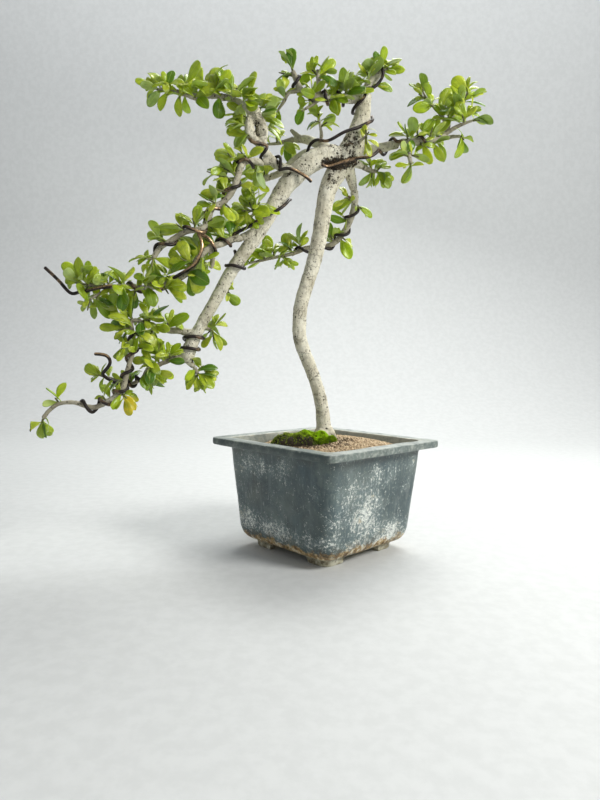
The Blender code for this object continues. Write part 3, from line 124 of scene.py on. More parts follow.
# Leafy stems: bars of wood, spurs with their leaves, as (foot), (tip), leaves, mean length
STEMS = {
    "apex_shoot": {
        "grows_from": "trunk",
        "bars": [[(32.2, 5, 419.35, 4.8), (36, 5, 427, 4.1), (43, 5, 435, 2.9), (50, 5, 438, 2.0)]],
        "spurs": [
            ((50, 5, 438), (52, 4, 447), 3, 12), ((50, 5, 438), (61, 4, 444), 3, 13),
            ((36, 5, 428), (29, -6, 434), 3, 17), ((43, 5, 435), (42, -4, 441), 3, 16),
            ((43, 5, 435), (36, 12, 441), 3, 15), ((50, 5, 438), (56, -4, 433), 1, 14),
            ((34, 5, 424), (42, -4, 420), 1, 15),
        ],
    },
    "top_left": {
        "grows_from": "top_left_base",
        "bars": [
            [(19.7, 0.9, 411, 4.5), (3, -6, 408, 3.8), (-13, -10, 407, 3.1), (-25, -13, 410, 2.8),
             (-31, -14, 418, 2.6), (-35, -14, 428, 2.0)],
            [(-12, -10, 407, 2.8), (-12, -9, 419, 2.2), (-13, -8, 432, 1.9)],
            [(-26, -13, 411, 2.3), (-38, -11, 411, 2.0), (-42, -10, 404, 1.7), (-49, -9, 394, 1.1)],
            [(-9, -10, 407, 2.1), (-17, -12, 400, 1.4), (-24, -12, 396, 1.1)],
        ],
        "spurs": [
            ((-35, -14, 428), (-39, -14, 438), 3, 14), ((-33, -14, 423), (-51, -12, 428), 1, 14),
            ((-13, -9, 426), (-20, -10, 433), 3, 13), ((-13, -9, 424), (-4, -11, 431), 3, 14),
            ((3, -6, 408), (0, -10, 424), 3, 17), ((12, -3, 410), (13, -12, 424), 3, 20),
            ((16, -1, 410), (22, -13, 418), 3, 17), ((8, -4, 409), (8, -16, 405), 1, 15),
            ((-18, -11, 409), (-21, -21, 408), 3, 14), ((-2, -7, 408), (-2, -17, 400), 3, 14),
            ((-24, -12, 396), (-27, -13, 393), 1, 14), ((-17, -12, 400), (-22, -16, 404), 1, 13),
            ((-40, -11, 408), (-45, -16, 414), 3, 13), ((-49, -9, 394), (-51, -9, 390), 1, 12),
        ],
    },
    "upper_left": {
        "grows_from": "upper_left_base",
        "bars": [
            [(-61.2, -18.1, 360.3, 4.1), (-60.5, -19.5, 369, 3.4), (-61.5, -21, 379, 3.4),
            (-68, -22, 387, 4.6),
             (-78, -22, 395, 3.5), (-91, -20, 401, 2.9), (-106, -18, 404, 2.7), (-118, -16, 403, 2.6),
             (-133, -13, 408, 2.1), (-146, -10, 412, 1.7), (-154, -8, 413, 1.2)],
            [(-61.5, -18.6, 362, 3.0), (-69.5, -22.5, 368, 3.0), (-71.5, -24, 377, 3.2),
            (-69, -23, 387, 3.4)],
        ],
        "spurs": [
            ((-154, -8, 413), (-163, -7, 414), 3, 15), ((-146, -10, 412), (-149, -15, 416), 3, 13),
            ((-142, -11, 411), (-147, -15, 403), 1, 13),
            ((-132, -13, 408), (-135, -17, 400), 3, 15), ((-126, -14, 406), (-128, -19, 418), 3, 20),
            ((-120, -16, 404), (-120, -24, 398), 1, 15), ((-112, -17, 404), (-112, -15, 421), 3, 19),
            ((-104, -18, 404), (-97, -21, 421), 3, 21), ((-96, -19, 402), (-92, -26, 396), 1, 14),
            ((-86, -21, 399), (-82, -26, 410), 3, 19), ((-77, -22, 394), (-66, -28, 404), 3, 19),
            ((-68, -22, 387), (-54, -18, 402), 3, 16), ((-65, -21.5, 383), (-54, -14, 391), 3, 17),
            ((-70.5, -23.5, 382), (-86, -27, 388), 3, 17), ((-71.5, -24, 377), (-82, -28, 375), 3, 17),
            ((-61.5, -21, 377), (-52, -16, 376), 1, 17), ((-69.5, -22.5, 369), (-79, -26, 364), 1, 16),
            ((-74, -22, 391), (-70, -32, 391), 1, 15),
        ],
    },
    "middle_upper": {
        "grows_from": "mid_upper_base",
        "bars": [[(-61.3, -19.2, 347.4, 3.1), (-67, -23, 347, 2.9), (-76, -31, 343, 2.8),
                  (-80, -34, 332, 2.8),
                  (-84, -37, 318, 2.7), (-92, -40, 307, 2.7), (-101, -42, 301, 2.7), (-104, -43, 291, 2.5),
                  (-109, -45, 284, 2.4), (-122, -46, 281, 2.4), (-134, -46, 274, 2.4), (-144, -46, 267, 2.3),
                  (-150, -46, 258, 2.5)]],
        "spurs": [
            ((-67, -23, 347), (-67, -12, 339), 3, 16), ((-71, -26, 346), (-81, -35, 354), 2, 17),
            ((-78, -32, 339), (-92, -37, 352), 3, 21), ((-80, -34, 332), (-99, -40, 338), 3, 19),
            ((-82, -35, 326), (-112, -42, 334), 3, 19), ((-83, -36, 320), (-70, -36, 326), 1, 16),
            ((-86, -38, 315), (-102, -45, 318), 3, 17), ((-96, -41, 304), (-105, -48, 309), 3, 15),
            ((-92, -40, 307), (-84, -46, 300), 1, 15), ((-106, -44, 288), (-98, -49, 292), 1, 15),
            ((-114, -46, 283), (-117, -50, 294), 3, 17), ((-122, -46, 281), (-132, -51, 288), 3, 19),
            ((-130, -46, 277), (-127, -41, 268), 3, 15), ((-138, -46, 271), (-148, -52, 276), 3, 16),
            ((-150, -46, 258), (-158, -50, 257), 3, 16), ((-150, -46, 258), (-150, -51, 249), 3, 16),
        ],
    },
    "middle_lower": {
        "grows_from": "mid_lower_base",
        "bars": [
            [(-78.7, -23.2, 280.9, 3.2), (-84, -27, 279, 2.9), (-95, -34, 273, 2.8), (-105, -39, 268, 2.7),
             (-113, -44, 258, 2.5), (-121, -47, 246, 2.4), (-135, -49, 238, 2.3), (-154, -50, 233, 2.2),
             (-172, -50, 234, 2.1), (-189, -50, 233, 1.8), (-203, -50, 235, 1.6)],
            [(-103, -38, 268, 2.6), (-101, -36, 259, 2.3), (-103, -36, 252, 1.9)],
            [(-182, -50, 233.5, 1.8), (-194, -52, 227, 1.4), (-201, -54, 222, 1.1)],
        ],
        "spurs": [
            ((-84, -27, 279), (-90, -19, 293), 3, 18), ((-92, -32, 275), (-100, -26, 293), 3, 17),
            ((-99, -36, 271), (-112, -33, 280), 3, 16),
            ((-112, -43, 260), (-104, -38, 250), 3, 19), ((-116, -45, 253), (-128, -54, 259), 3, 20),
            ((-121, -47, 246), (-115, -51, 238), 3, 19), ((-135, -49, 238), (-137, -55, 244), 3, 14),
            ((-141, -49, 236), (-134, -54, 226), 3, 17), ((-154, -50, 233), (-151, -55, 241), 3, 14),
            ((-163, -50, 233), (-164, -56, 224), 3, 15),
            ((-176, -50, 234), (-177, -45, 242), 3, 16), ((-185, -50, 233), (-188, -55, 241), 3, 16),
            ((-176, -50, 234), (-178, -56, 224), 3, 16), ((-201, -54, 222), (-204, -52, 211), 3, 15),
            ((-196, -52, 226), (-197, -48, 215), 3, 14), ((-203, -50, 235), (-198, -55, 243), 3, 17),
            ((-203, -50, 235), (-214, -53, 246), 3, 18), ((-203, -50, 235), (-216, -55, 236), 3, 19),
            ((-203, -50, 235), (-209, -46, 227), 3, 16),
        ],
    },
    "low_left": {
        "grows_from": "low_left_base",
        "bars": [
            [(-129.3, -34.1, 198, 3.0), (-141, -38, 199, 2.6), (-154, -43, 203, 2.1), (-167, -48, 206, 1.9),
             (-166, -50, 194, 1.8), (-165, -52, 182, 1.9), (-168, -54, 169, 2.1), (-171, -55, 156, 2.3),
             (-175, -56, 145, 2.8), (-186, -56, 137, 2.4), (-199, -56, 132, 2.1), (-213, -56, 136, 1.9),
             (-226, -56, 135, 1.7), (-235, -56, 129, 1.8), (-240, -56, 122, 1.9)],
        ],
        "spurs": [
            ((-138, -37, 199), (-139, -44, 208), 3, 15), ((-134, -35, 198), (-129, -29, 207), 1, 15),
            ((-150, -41, 201), (-153, -48, 192), 3, 15), ((-154, -43, 203), (-157, -40, 217), 3, 17),
            ((-160, -45, 205), (-149, -52, 208), 3, 15), ((-167, -48, 206), (-172, -45, 221), 3, 17),
            ((-167, -48, 206), (-183, -54, 210), 3, 17), ((-166, -49, 200), (-181, -52, 197), 3, 17),
            ((-166, -50, 196), (-155, -57, 191), 3, 15), ((-165, -51, 187), (-175, -57, 184), 3, 14),
            ((-165, -52, 182), (-154, -57, 182), 1, 13), ((-175, -56, 145), (-167, -60, 139), 3, 14),
            ((-186, -56, 137), (-190, -61, 144), 1, 13), ((-226, -56, 135), (-231, -56, 141), 1, 14),
            ((-240, -56, 122), (-243, -56, 114), 3, 14), ((-171, -55, 156), (-180, -60, 152), 1, 13),
        ],
    },
    "low_bough": {
        "grows_from": "low_bough_base",
        "bars": [[(-132.3, -37.1, 174.9, 2.5), (-139, -40, 172, 2.2), (-147, -43, 168, 2.1),
                  (-155, -45, 164, 1.9),
                  (-160, -42, 157, 1.7), (-170, -42, 152, 1.6), (-181, -44, 155, 1.5),
                  (-192, -46, 158, 1.3)]],
        "spurs": [
            ((-137, -39, 173), (-136, -46, 180), 3, 15), ((-142, -41, 170), (-144, -40, 183), 3, 16),
            ((-147, -43, 168), (-155, -50, 174), 3, 16), ((-147, -43, 168), (-146, -52, 160), 3, 16),
            ((-155, -45, 164), (-150, -46, 153), 3, 16), ((-170, -42, 152), (-172, -36, 162), 1, 13),
            ((-181, -44, 155), (-185, -38, 147), 1, 14), ((-192, -46, 158), (-200, -46, 160), 3, 14),
        ],
    },
    "right_branch": {
        "grows_from": "right_base",
        "bars": [
            [(62.3, -1.1, 371.1, 3.8), (70, -2, 372, 3.5), (84, -3, 373, 3.2), (98, -2, 375, 2.8),
            (105, 0, 383, 2.4),
             (107, 2, 393, 2.0)],
            [(71, -3, 372, 2.6), (70, -9, 359, 2.1), (71, -13, 350, 1.6)],
            [(106, 1, 389, 2.0), (98, 5, 402, 1.6), (88, 8, 414, 1.3), (84, 8, 421, 1.1)],
            [(107, 2, 393, 1.9), (114, 4, 399, 1.6), (122, 6, 401, 1.3)],
            [(113, 4, 398, 1.5), (121, 9, 411, 1.3), (126, 12, 424, 1.1)],
            [(102, -1, 379, 2.2), (113, -4, 386, 1.7), (126, -8, 390, 1.2)],
            [(98, -2, 375, 2.3), (108, -7, 376, 1.7), (115, -11, 375, 1.3)],
        ],
        "spurs": [
            ((70, -2, 372), (66, -10, 383), 3, 16), ((78, -2, 372.5), (77, -10, 386), 2, 16),
            ((88, -3, 373.5), (91, -10, 386), 2, 17), ((96, -2, 375), (100, 6, 388), 2, 16),
            ((92, -2, 374), (93, -10, 362), 2, 15), ((80, -3, 373), (82, -12, 364), 1, 14),
            ((84, 8, 421), (83, 8, 426), 2, 15), ((88, 8, 414), (77, 3, 418), 2, 15),
            ((93, 6, 408), (88, -1, 406), 2, 15), ((98, 5, 402), (106, -2, 407), 3, 16),
            ((122, 6, 401), (129, 5, 402), 2, 15), ((118, 5, 400), (119, -2, 409), 2, 14),
            ((126, 12, 424), (126, 12, 430), 3, 14), ((123, 10, 416), (134, 9, 420), 2, 14),
            ((121, 9, 411), (111, 5, 417), 2, 14), ((126, -8, 390), (134, -9, 390), 2, 15),
            ((119, -6, 388), (115, -12, 396), 2, 15), ((115, -11, 375), (118, -14, 370), 2, 15),
            ((107, 2, 393), (104, -6, 397), 2, 15), ((71, -13, 350), (70, -15, 344), 2, 17),
            ((70, -10, 357), (61, -14, 358), 2, 16), ((70, -9, 359), (80, -14, 355), 1, 14),
        ],
    },
    "right_shade": {
        "grows_from": "right_shade_base",
        "bars": [[(31, 9, 353, 2.7), (38, 14, 351.5, 2.2), (44, 18, 352, 1.8)]],
        "spurs": [
            ((38, 14, 351.5), (37, 10, 361), 2, 14), ((44, 18, 352), (50, 18, 358), 2, 14),
            ((40, 15, 351.7), (39, 14, 343), 2, 14), ((44, 18, 352), (53, 21, 346), 3, 14),
        ],
    },
    "back_drop": {
        "grows_from": "back_drop_base",
        "bars": [[(23.6, 19.2, 333.6, 3.5), (25, 25, 323, 3.2), (20, 33, 306, 3.0), (9, 40, 291, 2.7),
                  (-5, 44, 286, 2.7), (-21, 46, 285, 2.5), (-33, 47, 280, 2.0), (-56, 48, 275, 1.6),
                  (-76, 48, 270, 1.2)]],
        "spurs": [
            ((24.5, 22, 328), (12, 17, 327), 3, 15), ((25, 25, 323), (34, 24, 318), 1, 14),
            ((22, 30, 312), (11, 27, 312), 1, 14), ((13, 38, 296), (21, 33, 288), 1, 15),
            ((6, 41, 290), (2, 37, 299), 2, 15), ((-26, 46, 283), (-28, 44, 294), 2, 17),
            ((-33, 47, 280), (-41, 43, 289), 2, 18), ((-42, 47, 278), (-38, 43, 268), 2, 15),
            ((-52, 48, 276), (-54, 45, 287), 2, 17), ((-60, 48, 274), (-68, 46, 282), 3, 16),
            ((-76, 48, 270), (-80, 47, 274), 2, 15),
        ],
    },
    "back_upper": {
        "grows_from": "back_upper_base",
        "bars": [[(-34.3, 27.1, 383, 2.8), (-42, 31, 382.5, 2.2), (-51, 35, 382, 1.6), (-60, 38, 382, 1.3)]],
        "spurs": [
            ((-42, 31, 382.5), (-40, 27, 374), 3, 13), ((-50, 34, 382), (-51, 31, 389), 1, 13),
            ((-60, 38, 382), (-64, 38, 385), 3, 13),
        ],
    },
    "back_lower": {
        "grows_from": "back_lower_base",
        "bars": [[(-57.3, 37.1, 350.95, 3.0), (-65, 41, 350, 2.8), (-77, 44, 352, 2.1)]],
        "spurs": [
            ((-63, 40, 350), (-61, 36, 361), 3, 16), ((-70, 42, 351), (-72, 37, 343), 3, 15),
            ((-77, 44, 352), (-83, 43, 356), 3, 15),
        ],
    },
    "joint_leaf": {
        "grows_from": "joint_bud",
        "bars": [[(26.1, -7.8, 371.1, 1.6), (31, -13, 373, 1.3)]],
        "spurs": [
            ((31, -13, 373), (30, -15, 380), 1, 9), ((31, -13, 373), (31, -15, 364), 1, 15),
            ((30, -12, 372.5), (34, -14, 378), 1, 9),
        ],
    },
    "crotch_twig": {
        "grows_from": "crotch_bud",
        "bars": [[(-8.5, 4, 378, 1.7), (-9, 0, 383, 1.5), (-11, -3, 393, 1.1)]],
        "spurs": [
            ((-11, -3, 393), (-12, -4, 397), 3, 13), ((-10, -2, 388), (-16, -6, 389), 1, 12),
            ((-9.5, -1, 385), (-2, -5, 389), 1, 12),
        ],
    },
    "limb_side": {
        "grows_from": "limb_side_bud",
        "bars": [[(-64.7, -17.7, 301.7, 1.7), (-68, -21, 305, 1.6)]],
        "spurs": [
            ((-68, -21, 305), (-72, -25, 313), 3, 19), ((-68, -21, 305), (-60, -26, 313), 3, 17),
            ((-68, -21, 305), (-80, -28, 303), 3, 18), ((-67, -20, 304), (-73, -26, 294), 3, 16),
        ],
    },
    "limb_middle": {
        "grows_from": "limb_middle_bud",
        "bars": [[(-92.9, -16.2, 233.6, 1.6), (-91, -12, 235, 1.4)]],
        "spurs": [((-91, -12, 235), (-89, -12, 240), 1, 12), ((-91, -12, 235), (-86, -14, 231), 1, 12)],
    },
    "limb_low": {
        "grows_from": "limb_low_bud",
        "bars": [[(-105.75, -23.8, 200.9, 1.6), (-102, -21, 201, 1.5)]],
        "spurs": [
            ((-102, -21, 201), (-101, -19, 208), 3, 14), ((-103, -22, 201), (-101, -25, 190), 3, 14),
            ((-103, -22, 201), (-109, -18, 196), 1, 13),
        ],
    },
    "knob_twig": {
        "grows_from": "knob_bud",
        "bars": [[(-116.8, -33, 166.3, 1.9), (-114, -33, 161, 1.6)]],
        "spurs": [
            ((-115, -33, 163), (-108, -28, 170), 3, 15), ((-114, -33, 161), (-106, -31, 160), 3, 15),
            ((-114, -33, 161), (-116, -35, 153), 3, 16),
        ],
    },
}

# Wires: turns round a bar as (bar, first share, last share, turns), and the free points between them
WIRES = {
    "wire_long_branch": {
        "start": 40.0,
        "head": [(-38, -4, 322), (-40, -16, 314), (-44, -22, 307), (-52, -24, 302), (-62, -25, 297),
                 (-69, -26, 291)],
        "runs": [("middle_lower/0", 0.02, 0.20, 1.6), (-104, -40, 275), (-109, -43, 280), (-112, -46, 282),
                 (-109, -49, 274), (-108, -50, 267), (-110, -51, 260), (-113, -52, 254), (-118, -54, 249),
                 ("middle_lower/0", 0.50, 0.86, 3.0)],
        "tail": [(-203, -56, 229), (-210, -51, 229), (-217, -50, 227), (-223, -50, 232), (-228, -50, 238),
                 (-240, -50, 249)],
    },
    "wire_middle_branch": {
        "start": 200.0,
        "runs": [("middle_upper/0", 0.02, 0.97, 5.0)],
    },
    "wire_shoulder": {
        "start": 300.0,
        "head": [(-17, -12, 333), (-21, -15, 336), (-28, -16, 340), (-33, -17, 342), (-39, -18, 343),
                 (-45, -19, 341)],
        "runs": [("upper_left_base", 0.45, 0.97, 1.2)],
        "tail": [(-68, -28, 361), (-71, -25, 366)],
    },
    "wire_joint": {
        "start": 60.0,
        "head": [(36, 6, 397), (36, -1, 391), (31, -4, 387), (22, -7, 382), (12, -10, 378), (2, -10, 372)],
        "runs": [(-5, -8, 370), (-12, 2, 375), (-18, 8, 373), (-20, 10, 367), (-22, 12, 362),
                 (-27, 17, 360)],
    },
    "wire_right_branch": {
        "start": 90.0,
        "head": [(-8, -9, 348), (-2, -13, 345), (12, -14, 349), (26, -12, 354), (37, -7, 358),
                 (43, -4, 364)],
        "runs": [("right_base", 0.62, 0.97, 0.9), ("right_branch/0", 0.04, 0.55, 1.6)],
    },
    "wire_apex": {
        "start": 0.0,
        "head": [(32, 13, 408), (25, 10, 402), (21, 4, 400), (21, -1, 403), (26, -4, 407), (30, -4, 412)],
        "runs": [(31, -4, 418), (37, -3, 419), (43, -2, 425), (46, -2, 432), (43, -2, 439), (37, 1, 443),
                 (30, 4, 442)],
    },
    "wire_top": {
        "start": 120.0,
        "runs": [("top_left/0", 0.06, 0.92, 4.0)],
    },
    "wire_back": {
        "start": 20.0,
        "runs": [("back_drop/0", 0.03, 0.70, 4.5)],
    },
    "wire_limb": {
        "start": 150.0,
        "runs": [("limb", 0.56, 0.63, 0.9)],
    },
    "wire_knob": {
        "start": 250.0,
        "runs": [("limb", 0.885, 0.965, 1.8)],
    },
    "wire_tail": {
        "start": 30.0,
        "runs": [("low_left/0", 0.30, 0.80, 5.5)],
    },
    "wire_hook": {
        "start": 200.0,
        "runs": [("low_bough/0", 0.45, 0.80, 2.4)],
        "tail": [(-190, -55, 159), (-186, -59, 164), (-182, -60, 170), (-185, -61, 176), (-195, -61, 177)],
    },
}

# Bars of the wood that are thick enough to be rounded before anything is wound on them
THICK = ("trunk", "limb")
# Weights of the points beside a rounded point, and of those beyond them
NEAR_WEIGHT = 0.5625
FAR_WEIGHT = 0.0625
# Length of a stem's straight start, as a share of its radius
START_SHARE = 0.4
# How a wire is wound: points to a turn, the angle between tries, and the clearance that ends them
TURN_POINTS = 7
TRY_ANGLE = 15
TIGHT_ENOUGH = -0.12
# How a wire is pushed clear of bars: reach, rounds, and how far round it bars are looked at
PUSH_REACH = 14.0
PUSH_ROUNDS = 24
SIGHT = 16
# Distance that a wire's middle line is pushed away from bars, and the points after which no turn is shifted
WIRE_CLEAR = WIRE_RADIUS + GAP + 0.1
SHIFTED_POINTS = 8
# Rounded ends of a tube: how far each ring stands back and how wide it is, as shares of the radius
END_RINGS = ((0.0, 0.25), (0.14, 0.72), (0.5, 1.0))
# Sides of a bar's skin in the tests of the leaves, and how deep in its own wood a leaf has to reach
TEST_SIDES = 8
ROOT_DEPTH = 0.45
# Tries for each leaf, and the length at its foot that may touch its own stem and spur
LEAF_TRIES = 90
FOOT_LENGTH = 3.2
# Share of the leaves that face the front
FACING = 0.7


# Lines and bars
def clamp(value):
    """A value held between nothing and one."""
    return min(1.0, max(0.0, value))


def exact(row):
    """A row of numbers in full precision."""
    return np.array(row, float)


def smooth_route(route, kind=Vector):
    """Put one rounded point between each two points of a route, radius and all."""
    rows = [kind(row) for row in route]
    out = [rows[0]]
    for i in range(len(rows) - 1):
        before = rows[max(i - 1, 0)]
        after = rows[min(i + 2, len(rows) - 1)]
        out.append((rows[i] + rows[i + 1]) * NEAR_WEIGHT - (before + after) * FAR_WEIGHT)
        out.append(rows[i + 1])
    return [tuple(row) for row in out]


def finer(route, times=2):
    """A route with its bends rounded."""
    for _ in range(times):
        route = smooth_route(route, exact)
    return route


def wood_routes():
    """The bars that grow as one piece, with the thick ones rounded."""
    out = {name: list(route) for name, route in WOOD.items()}
    for name in THICK:
        out[name] = smooth_route(WOOD[name])
    return out


def stem_routes(stem):
    """All bars of a leafy stem. The first starts a gap away from the wood that it grows from."""
    out = [list(bar) for bar in STEMS[stem]["bars"]]
    held = WOOD[STEMS[stem]["grows_from"]]
    radius = held[-1][3]
    end = Vector(held[-1][:3])
    ahead = (end - Vector(held[-2][:3])).normalized()
    near = end + ahead * GAP
    far = end + ahead * (GAP + START_SHARE * radius)
    out[0] = [(*near, radius), (*far, radius)] + out[0][1:]
    return out


def segments(route):
    """Pairs of neighbouring points with their radii."""
    return [(Vector(a[:3]), Vector(b[:3]), a[3], b[3]) for a, b in zip(route[:-1], route[1:])]


def all_segments(routes):
    """Pairs of neighbouring points on several bars."""
    return [pair for route in routes for pair in segments(route)]


def nearest_on(place, a, b):
    """How far along a span the spot nearest a place lies, as a share, and that spot."""
    along = b - a
    t = clamp((place - a).dot(along) / along.length_squared)
    return t, a + along * t


def frames(route):
    """Points, lengths so far, directions, and sides carried along a route without twist."""
    points = [Vector(row[:3]) for row in route]
    lengths = [0.0]
    for a, b in zip(points[:-1], points[1:]):
        lengths.append(lengths[-1] + (b - a).length)
    tangents = []
    for i in range(len(points)):
        a = points[max(i - 1, 0)]
        b = points[min(i + 1, len(points) - 1)]
        tangents.append((b - a).normalized())
    side = tangents[0].orthogonal().normalized()
    sides = []
    for tangent in tangents:
        side = (side - tangent * side.dot(tangent)).normalized()
        sides.append(side.copy())
    return points, lengths, tangents, sides


def place_on(data, share):
    """Point, its row, the share past that row, direction and side at a share of the whole length."""
    points, lengths, tangents, sides = data
    want = share * lengths[-1]
    i = 0
    while i < len(points) - 2 and lengths[i + 1] < want:
        i += 1
    t = (want - lengths[i]) / (lengths[i + 1] - lengths[i])
    point = points[i].lerp(points[i + 1], t)
    tangent = tangents[i].lerp(tangents[i + 1], t).normalized()
    side = sides[i].lerp(sides[i + 1], t)
    side = (side - tangent * side.dot(tangent)).normalized()
    return point, i, t, tangent, side


# Wires
def wound(route, first, last, turns, angle):
    """Points of a wire that turns round a bar."""
    data = frames(route)
    count = max(3, round(turns * TURN_POINTS))
    out = []
    for k in range(count + 1):
        share = first + (last - first) * k / count
        point, i, t, tangent, side = place_on(data, share)
        radius = route[i][3] + (route[i + 1][3] - route[i][3]) * t
        reach = (radius + WIRE_RADIUS + GAP) / math.cos(math.pi / TURN_POINTS)
        turn = angle + math.tau * turns * k / count
        out.append(point + (side * math.cos(turn) + tangent.cross(side) * math.sin(turn)) * reach)
    return out


def start_angle(route, first, near):
    """The angle round a bar that lies nearest a given point."""
    point, _, _, tangent, side = place_on(frames(route), first)
    away = near - point
    return math.atan2(away.dot(tangent.cross(side)), away.dot(side))


def push_clear(points, bars, clear):
    """Move points, and the spans between them, out of every bar that they come too near."""
    near = []
    for i, point in enumerate(points):
        for bar in bars:
            middle = (bar[0] + bar[1]) * 0.5
            reach = (bar[1] - bar[0]).length * 0.5 + max(bar[2], bar[3]) + PUSH_REACH
            if (point - middle).length < reach:
                near.append((i, bar))
    for _ in range(PUSH_ROUNDS):
        for i, (a, b, radius_a, radius_b) in near:
            places = [(points[i], (i,))]
            if i + 1 < len(points):
                places.append(((points[i] + points[i + 1]) * 0.5, (i, i + 1)))
            for place, moved in places:
                t, spot = nearest_on(place, a, b)
                away = place - spot
                need = radius_a + (radius_b - radius_a) * t + clear
                if 0.0001 < away.length < need:
                    step = away.normalized() * (need - away.length)
                    for m in moved:
                        points[m] = points[m] + step
    return points


def tightest(points, bars):
    """The smallest clearance between a wire's skin and any bar, less the gap."""
    low = [min(p[i] for p in points) - SIGHT for i in range(3)]
    high = [max(p[i] for p in points) + SIGHT for i in range(3)]
    worst = 99.0
    shares = (0, 0.25, 0.5, 0.75)
    places = [a.lerp(b, t) for a, b in zip(points[:-1], points[1:]) for t in shares]
    for a, b, radius_a, radius_b in bars:
        middle = (a + b) * 0.5
        reach = (b - a).length * 0.5
        if any(middle[i] + reach < low[i] or middle[i] - reach > high[i] for i in range(3)):
            continue
        for place in places:
            t, spot = nearest_on(place, a, b)
            bar_radius = radius_a + (radius_b - radius_a) * t
            worst = min(worst, (place - spot).length - bar_radius - WIRE_RADIUS - GAP)
    return worst


def wire_points(wire, shift, wood, stems):
    """A wire's points before they are pushed clear, its turns shifted by some degrees."""
    points = [Vector(p) for p in wire.get("head", [])]
    angle = math.radians(wire["start"] + shift)
    for run in wire["runs"]:
        if len(run) == 3:
            points.append(Vector(run))
            continue
        key, first, last, turns = run
        if "/" in key:
            stem, index = key.split("/")
            route = stems[stem][int(index)]
        else:
            route = wood[key]
        if points:
            more = math.radians(shift) * (len(points) < SHIFTED_POINTS)
            angle = start_angle(route, first, points[-1]) + more
        points.extend(wound(route, first, last, turns, angle))
    points.extend(Vector(p) for p in wire.get("tail", []))
    return points


def wire_routes(wood, stems):
    """Every wire as a run of points, each clear of the wood and of the wires before it."""
    bars = all_segments(wood.values())
    for routes in stems.values():
        bars.extend(all_segments(routes))
    out = {}
    for name, wire in WIRES.items():
        best = None
        for shift in range(0, 360, TRY_ANGLE):
            points = wire_points(wire, shift, wood, stems)
            points = push_clear(points, bars, WIRE_CLEAR)
            worst = tightest(points, bars)
            if best is None or worst > best[0]:
                best = (worst, points)
            if worst > TIGHT_ENOUGH:
                break
        out[name] = [(p.x, p.y, p.z, WIRE_RADIUS) for p in best[1]]
        bars.extend(segments(out[name]))
    return out


# Skins
def belt(first, second, count):
    """Faces between two loops of corners, given the number of the first corner of each."""
    out = []
    for k in range(count):
        j = (k + 1) % count
        out.append((first + k, first + j, second + j, second + k))
    return out


def round_skin(rows, sides, extra=0.0):
    """Corners and faces of a closed round bar, made thicker by extra."""
    points, _, tangents, side_rows = frames(rows)
    corners = []
    for p, tangent, side, row in zip(points, tangents, side_rows, rows):
        other = tangent.cross(side)
        for s in range(sides):
            a = math.tau * s / sides
            corners.append(p + (side * math.cos(a) + other * math.sin(a)) * (row[3] + extra))
    last = (len(rows) - 1) * sides
    faces = []
    for start in range(0, last, sides):
        faces.extend(belt(start, start + sides, sides))
    faces.append(tuple(reversed(range(sides))))
    faces.append(tuple(range(last, last + sides)))
    return corners, faces


def end_rings(end, inner):
    """The rings that round one end of a tube, from its tip inward."""
    place = Vector(end[:3])
    out = (place - Vector(inner[:3])).normalized()
    return [(*(place - out * end[3] * back), end[3] * share) for back, share in END_RINGS]


def tube(route, sides):
    """Corners and faces of a round tube with rounded ends."""
    first = end_rings(route[0], route[1])
    last = end_rings(route[-1], route[-2])
    return round_skin(first + list(route[1:-1]) + last[::-1], sides)


class Solid:
    """A skin with a box round it, to see quickly whether two skins cross."""

    def __init__(self, owner, corners, faces):
        self.owner = owner
        self.tree = BVHTree.FromPolygons(corners, faces)
        self.low = [min(c[i] for c in corners) for i in range(3)]
        self.high = [max(c[i] for c in corners) for i in range(3)]

    def meets(self, other):
        """Whether two skins cross."""
        for i in range(3):
            if self.low[i] > other.high[i] or other.low[i] > self.high[i]:
                return False
        return bool(self.tree.overlap(other.tree))


# Leaves
def blade_points(leaf, thick):
    """Corners and faces of one blade: pointed foot, broad near its tip, bent along its length."""
    base, along, up, length, width, curl = leaf
    across = along.cross(up)
    rim = [(0.0, 0.0), (0.62, -0.47), (0.98, -0.25), (0.98, 0.25), (0.62, 0.47)]
    middle = []
    for u, v in rim:
        flat = base + along * (u * length) + across * (v * width)
        middle.append(flat - up * (curl * u * u * length))
    corners = [p + up * (thick / 2) for p in middle]
    corners += [p - up * (thick / 2) for p in middle]
    faces = [(0, 1, 4), (1, 2, 3, 4)]
    faces += [tuple(i + 5 for i in reversed(face)) for face in faces]
    for i in range(5):
        j = (i + 1) % 5
        faces.append((i, i + 5, j + 5, j))
    return corners, faces


def nearest_bar(foot, bars):
    """Distance, direction and radius of the bar that a foot stands on."""
    best = None
    for a, b, radius_a, radius_b in bars:
        t, spot = nearest_on(foot, a, b)
        away = (foot - spot).length
        if best is None or away < best[0]:
            best = (away, (b - a).normalized(), radius_a + (radius_b - radius_a) * t)
    return best


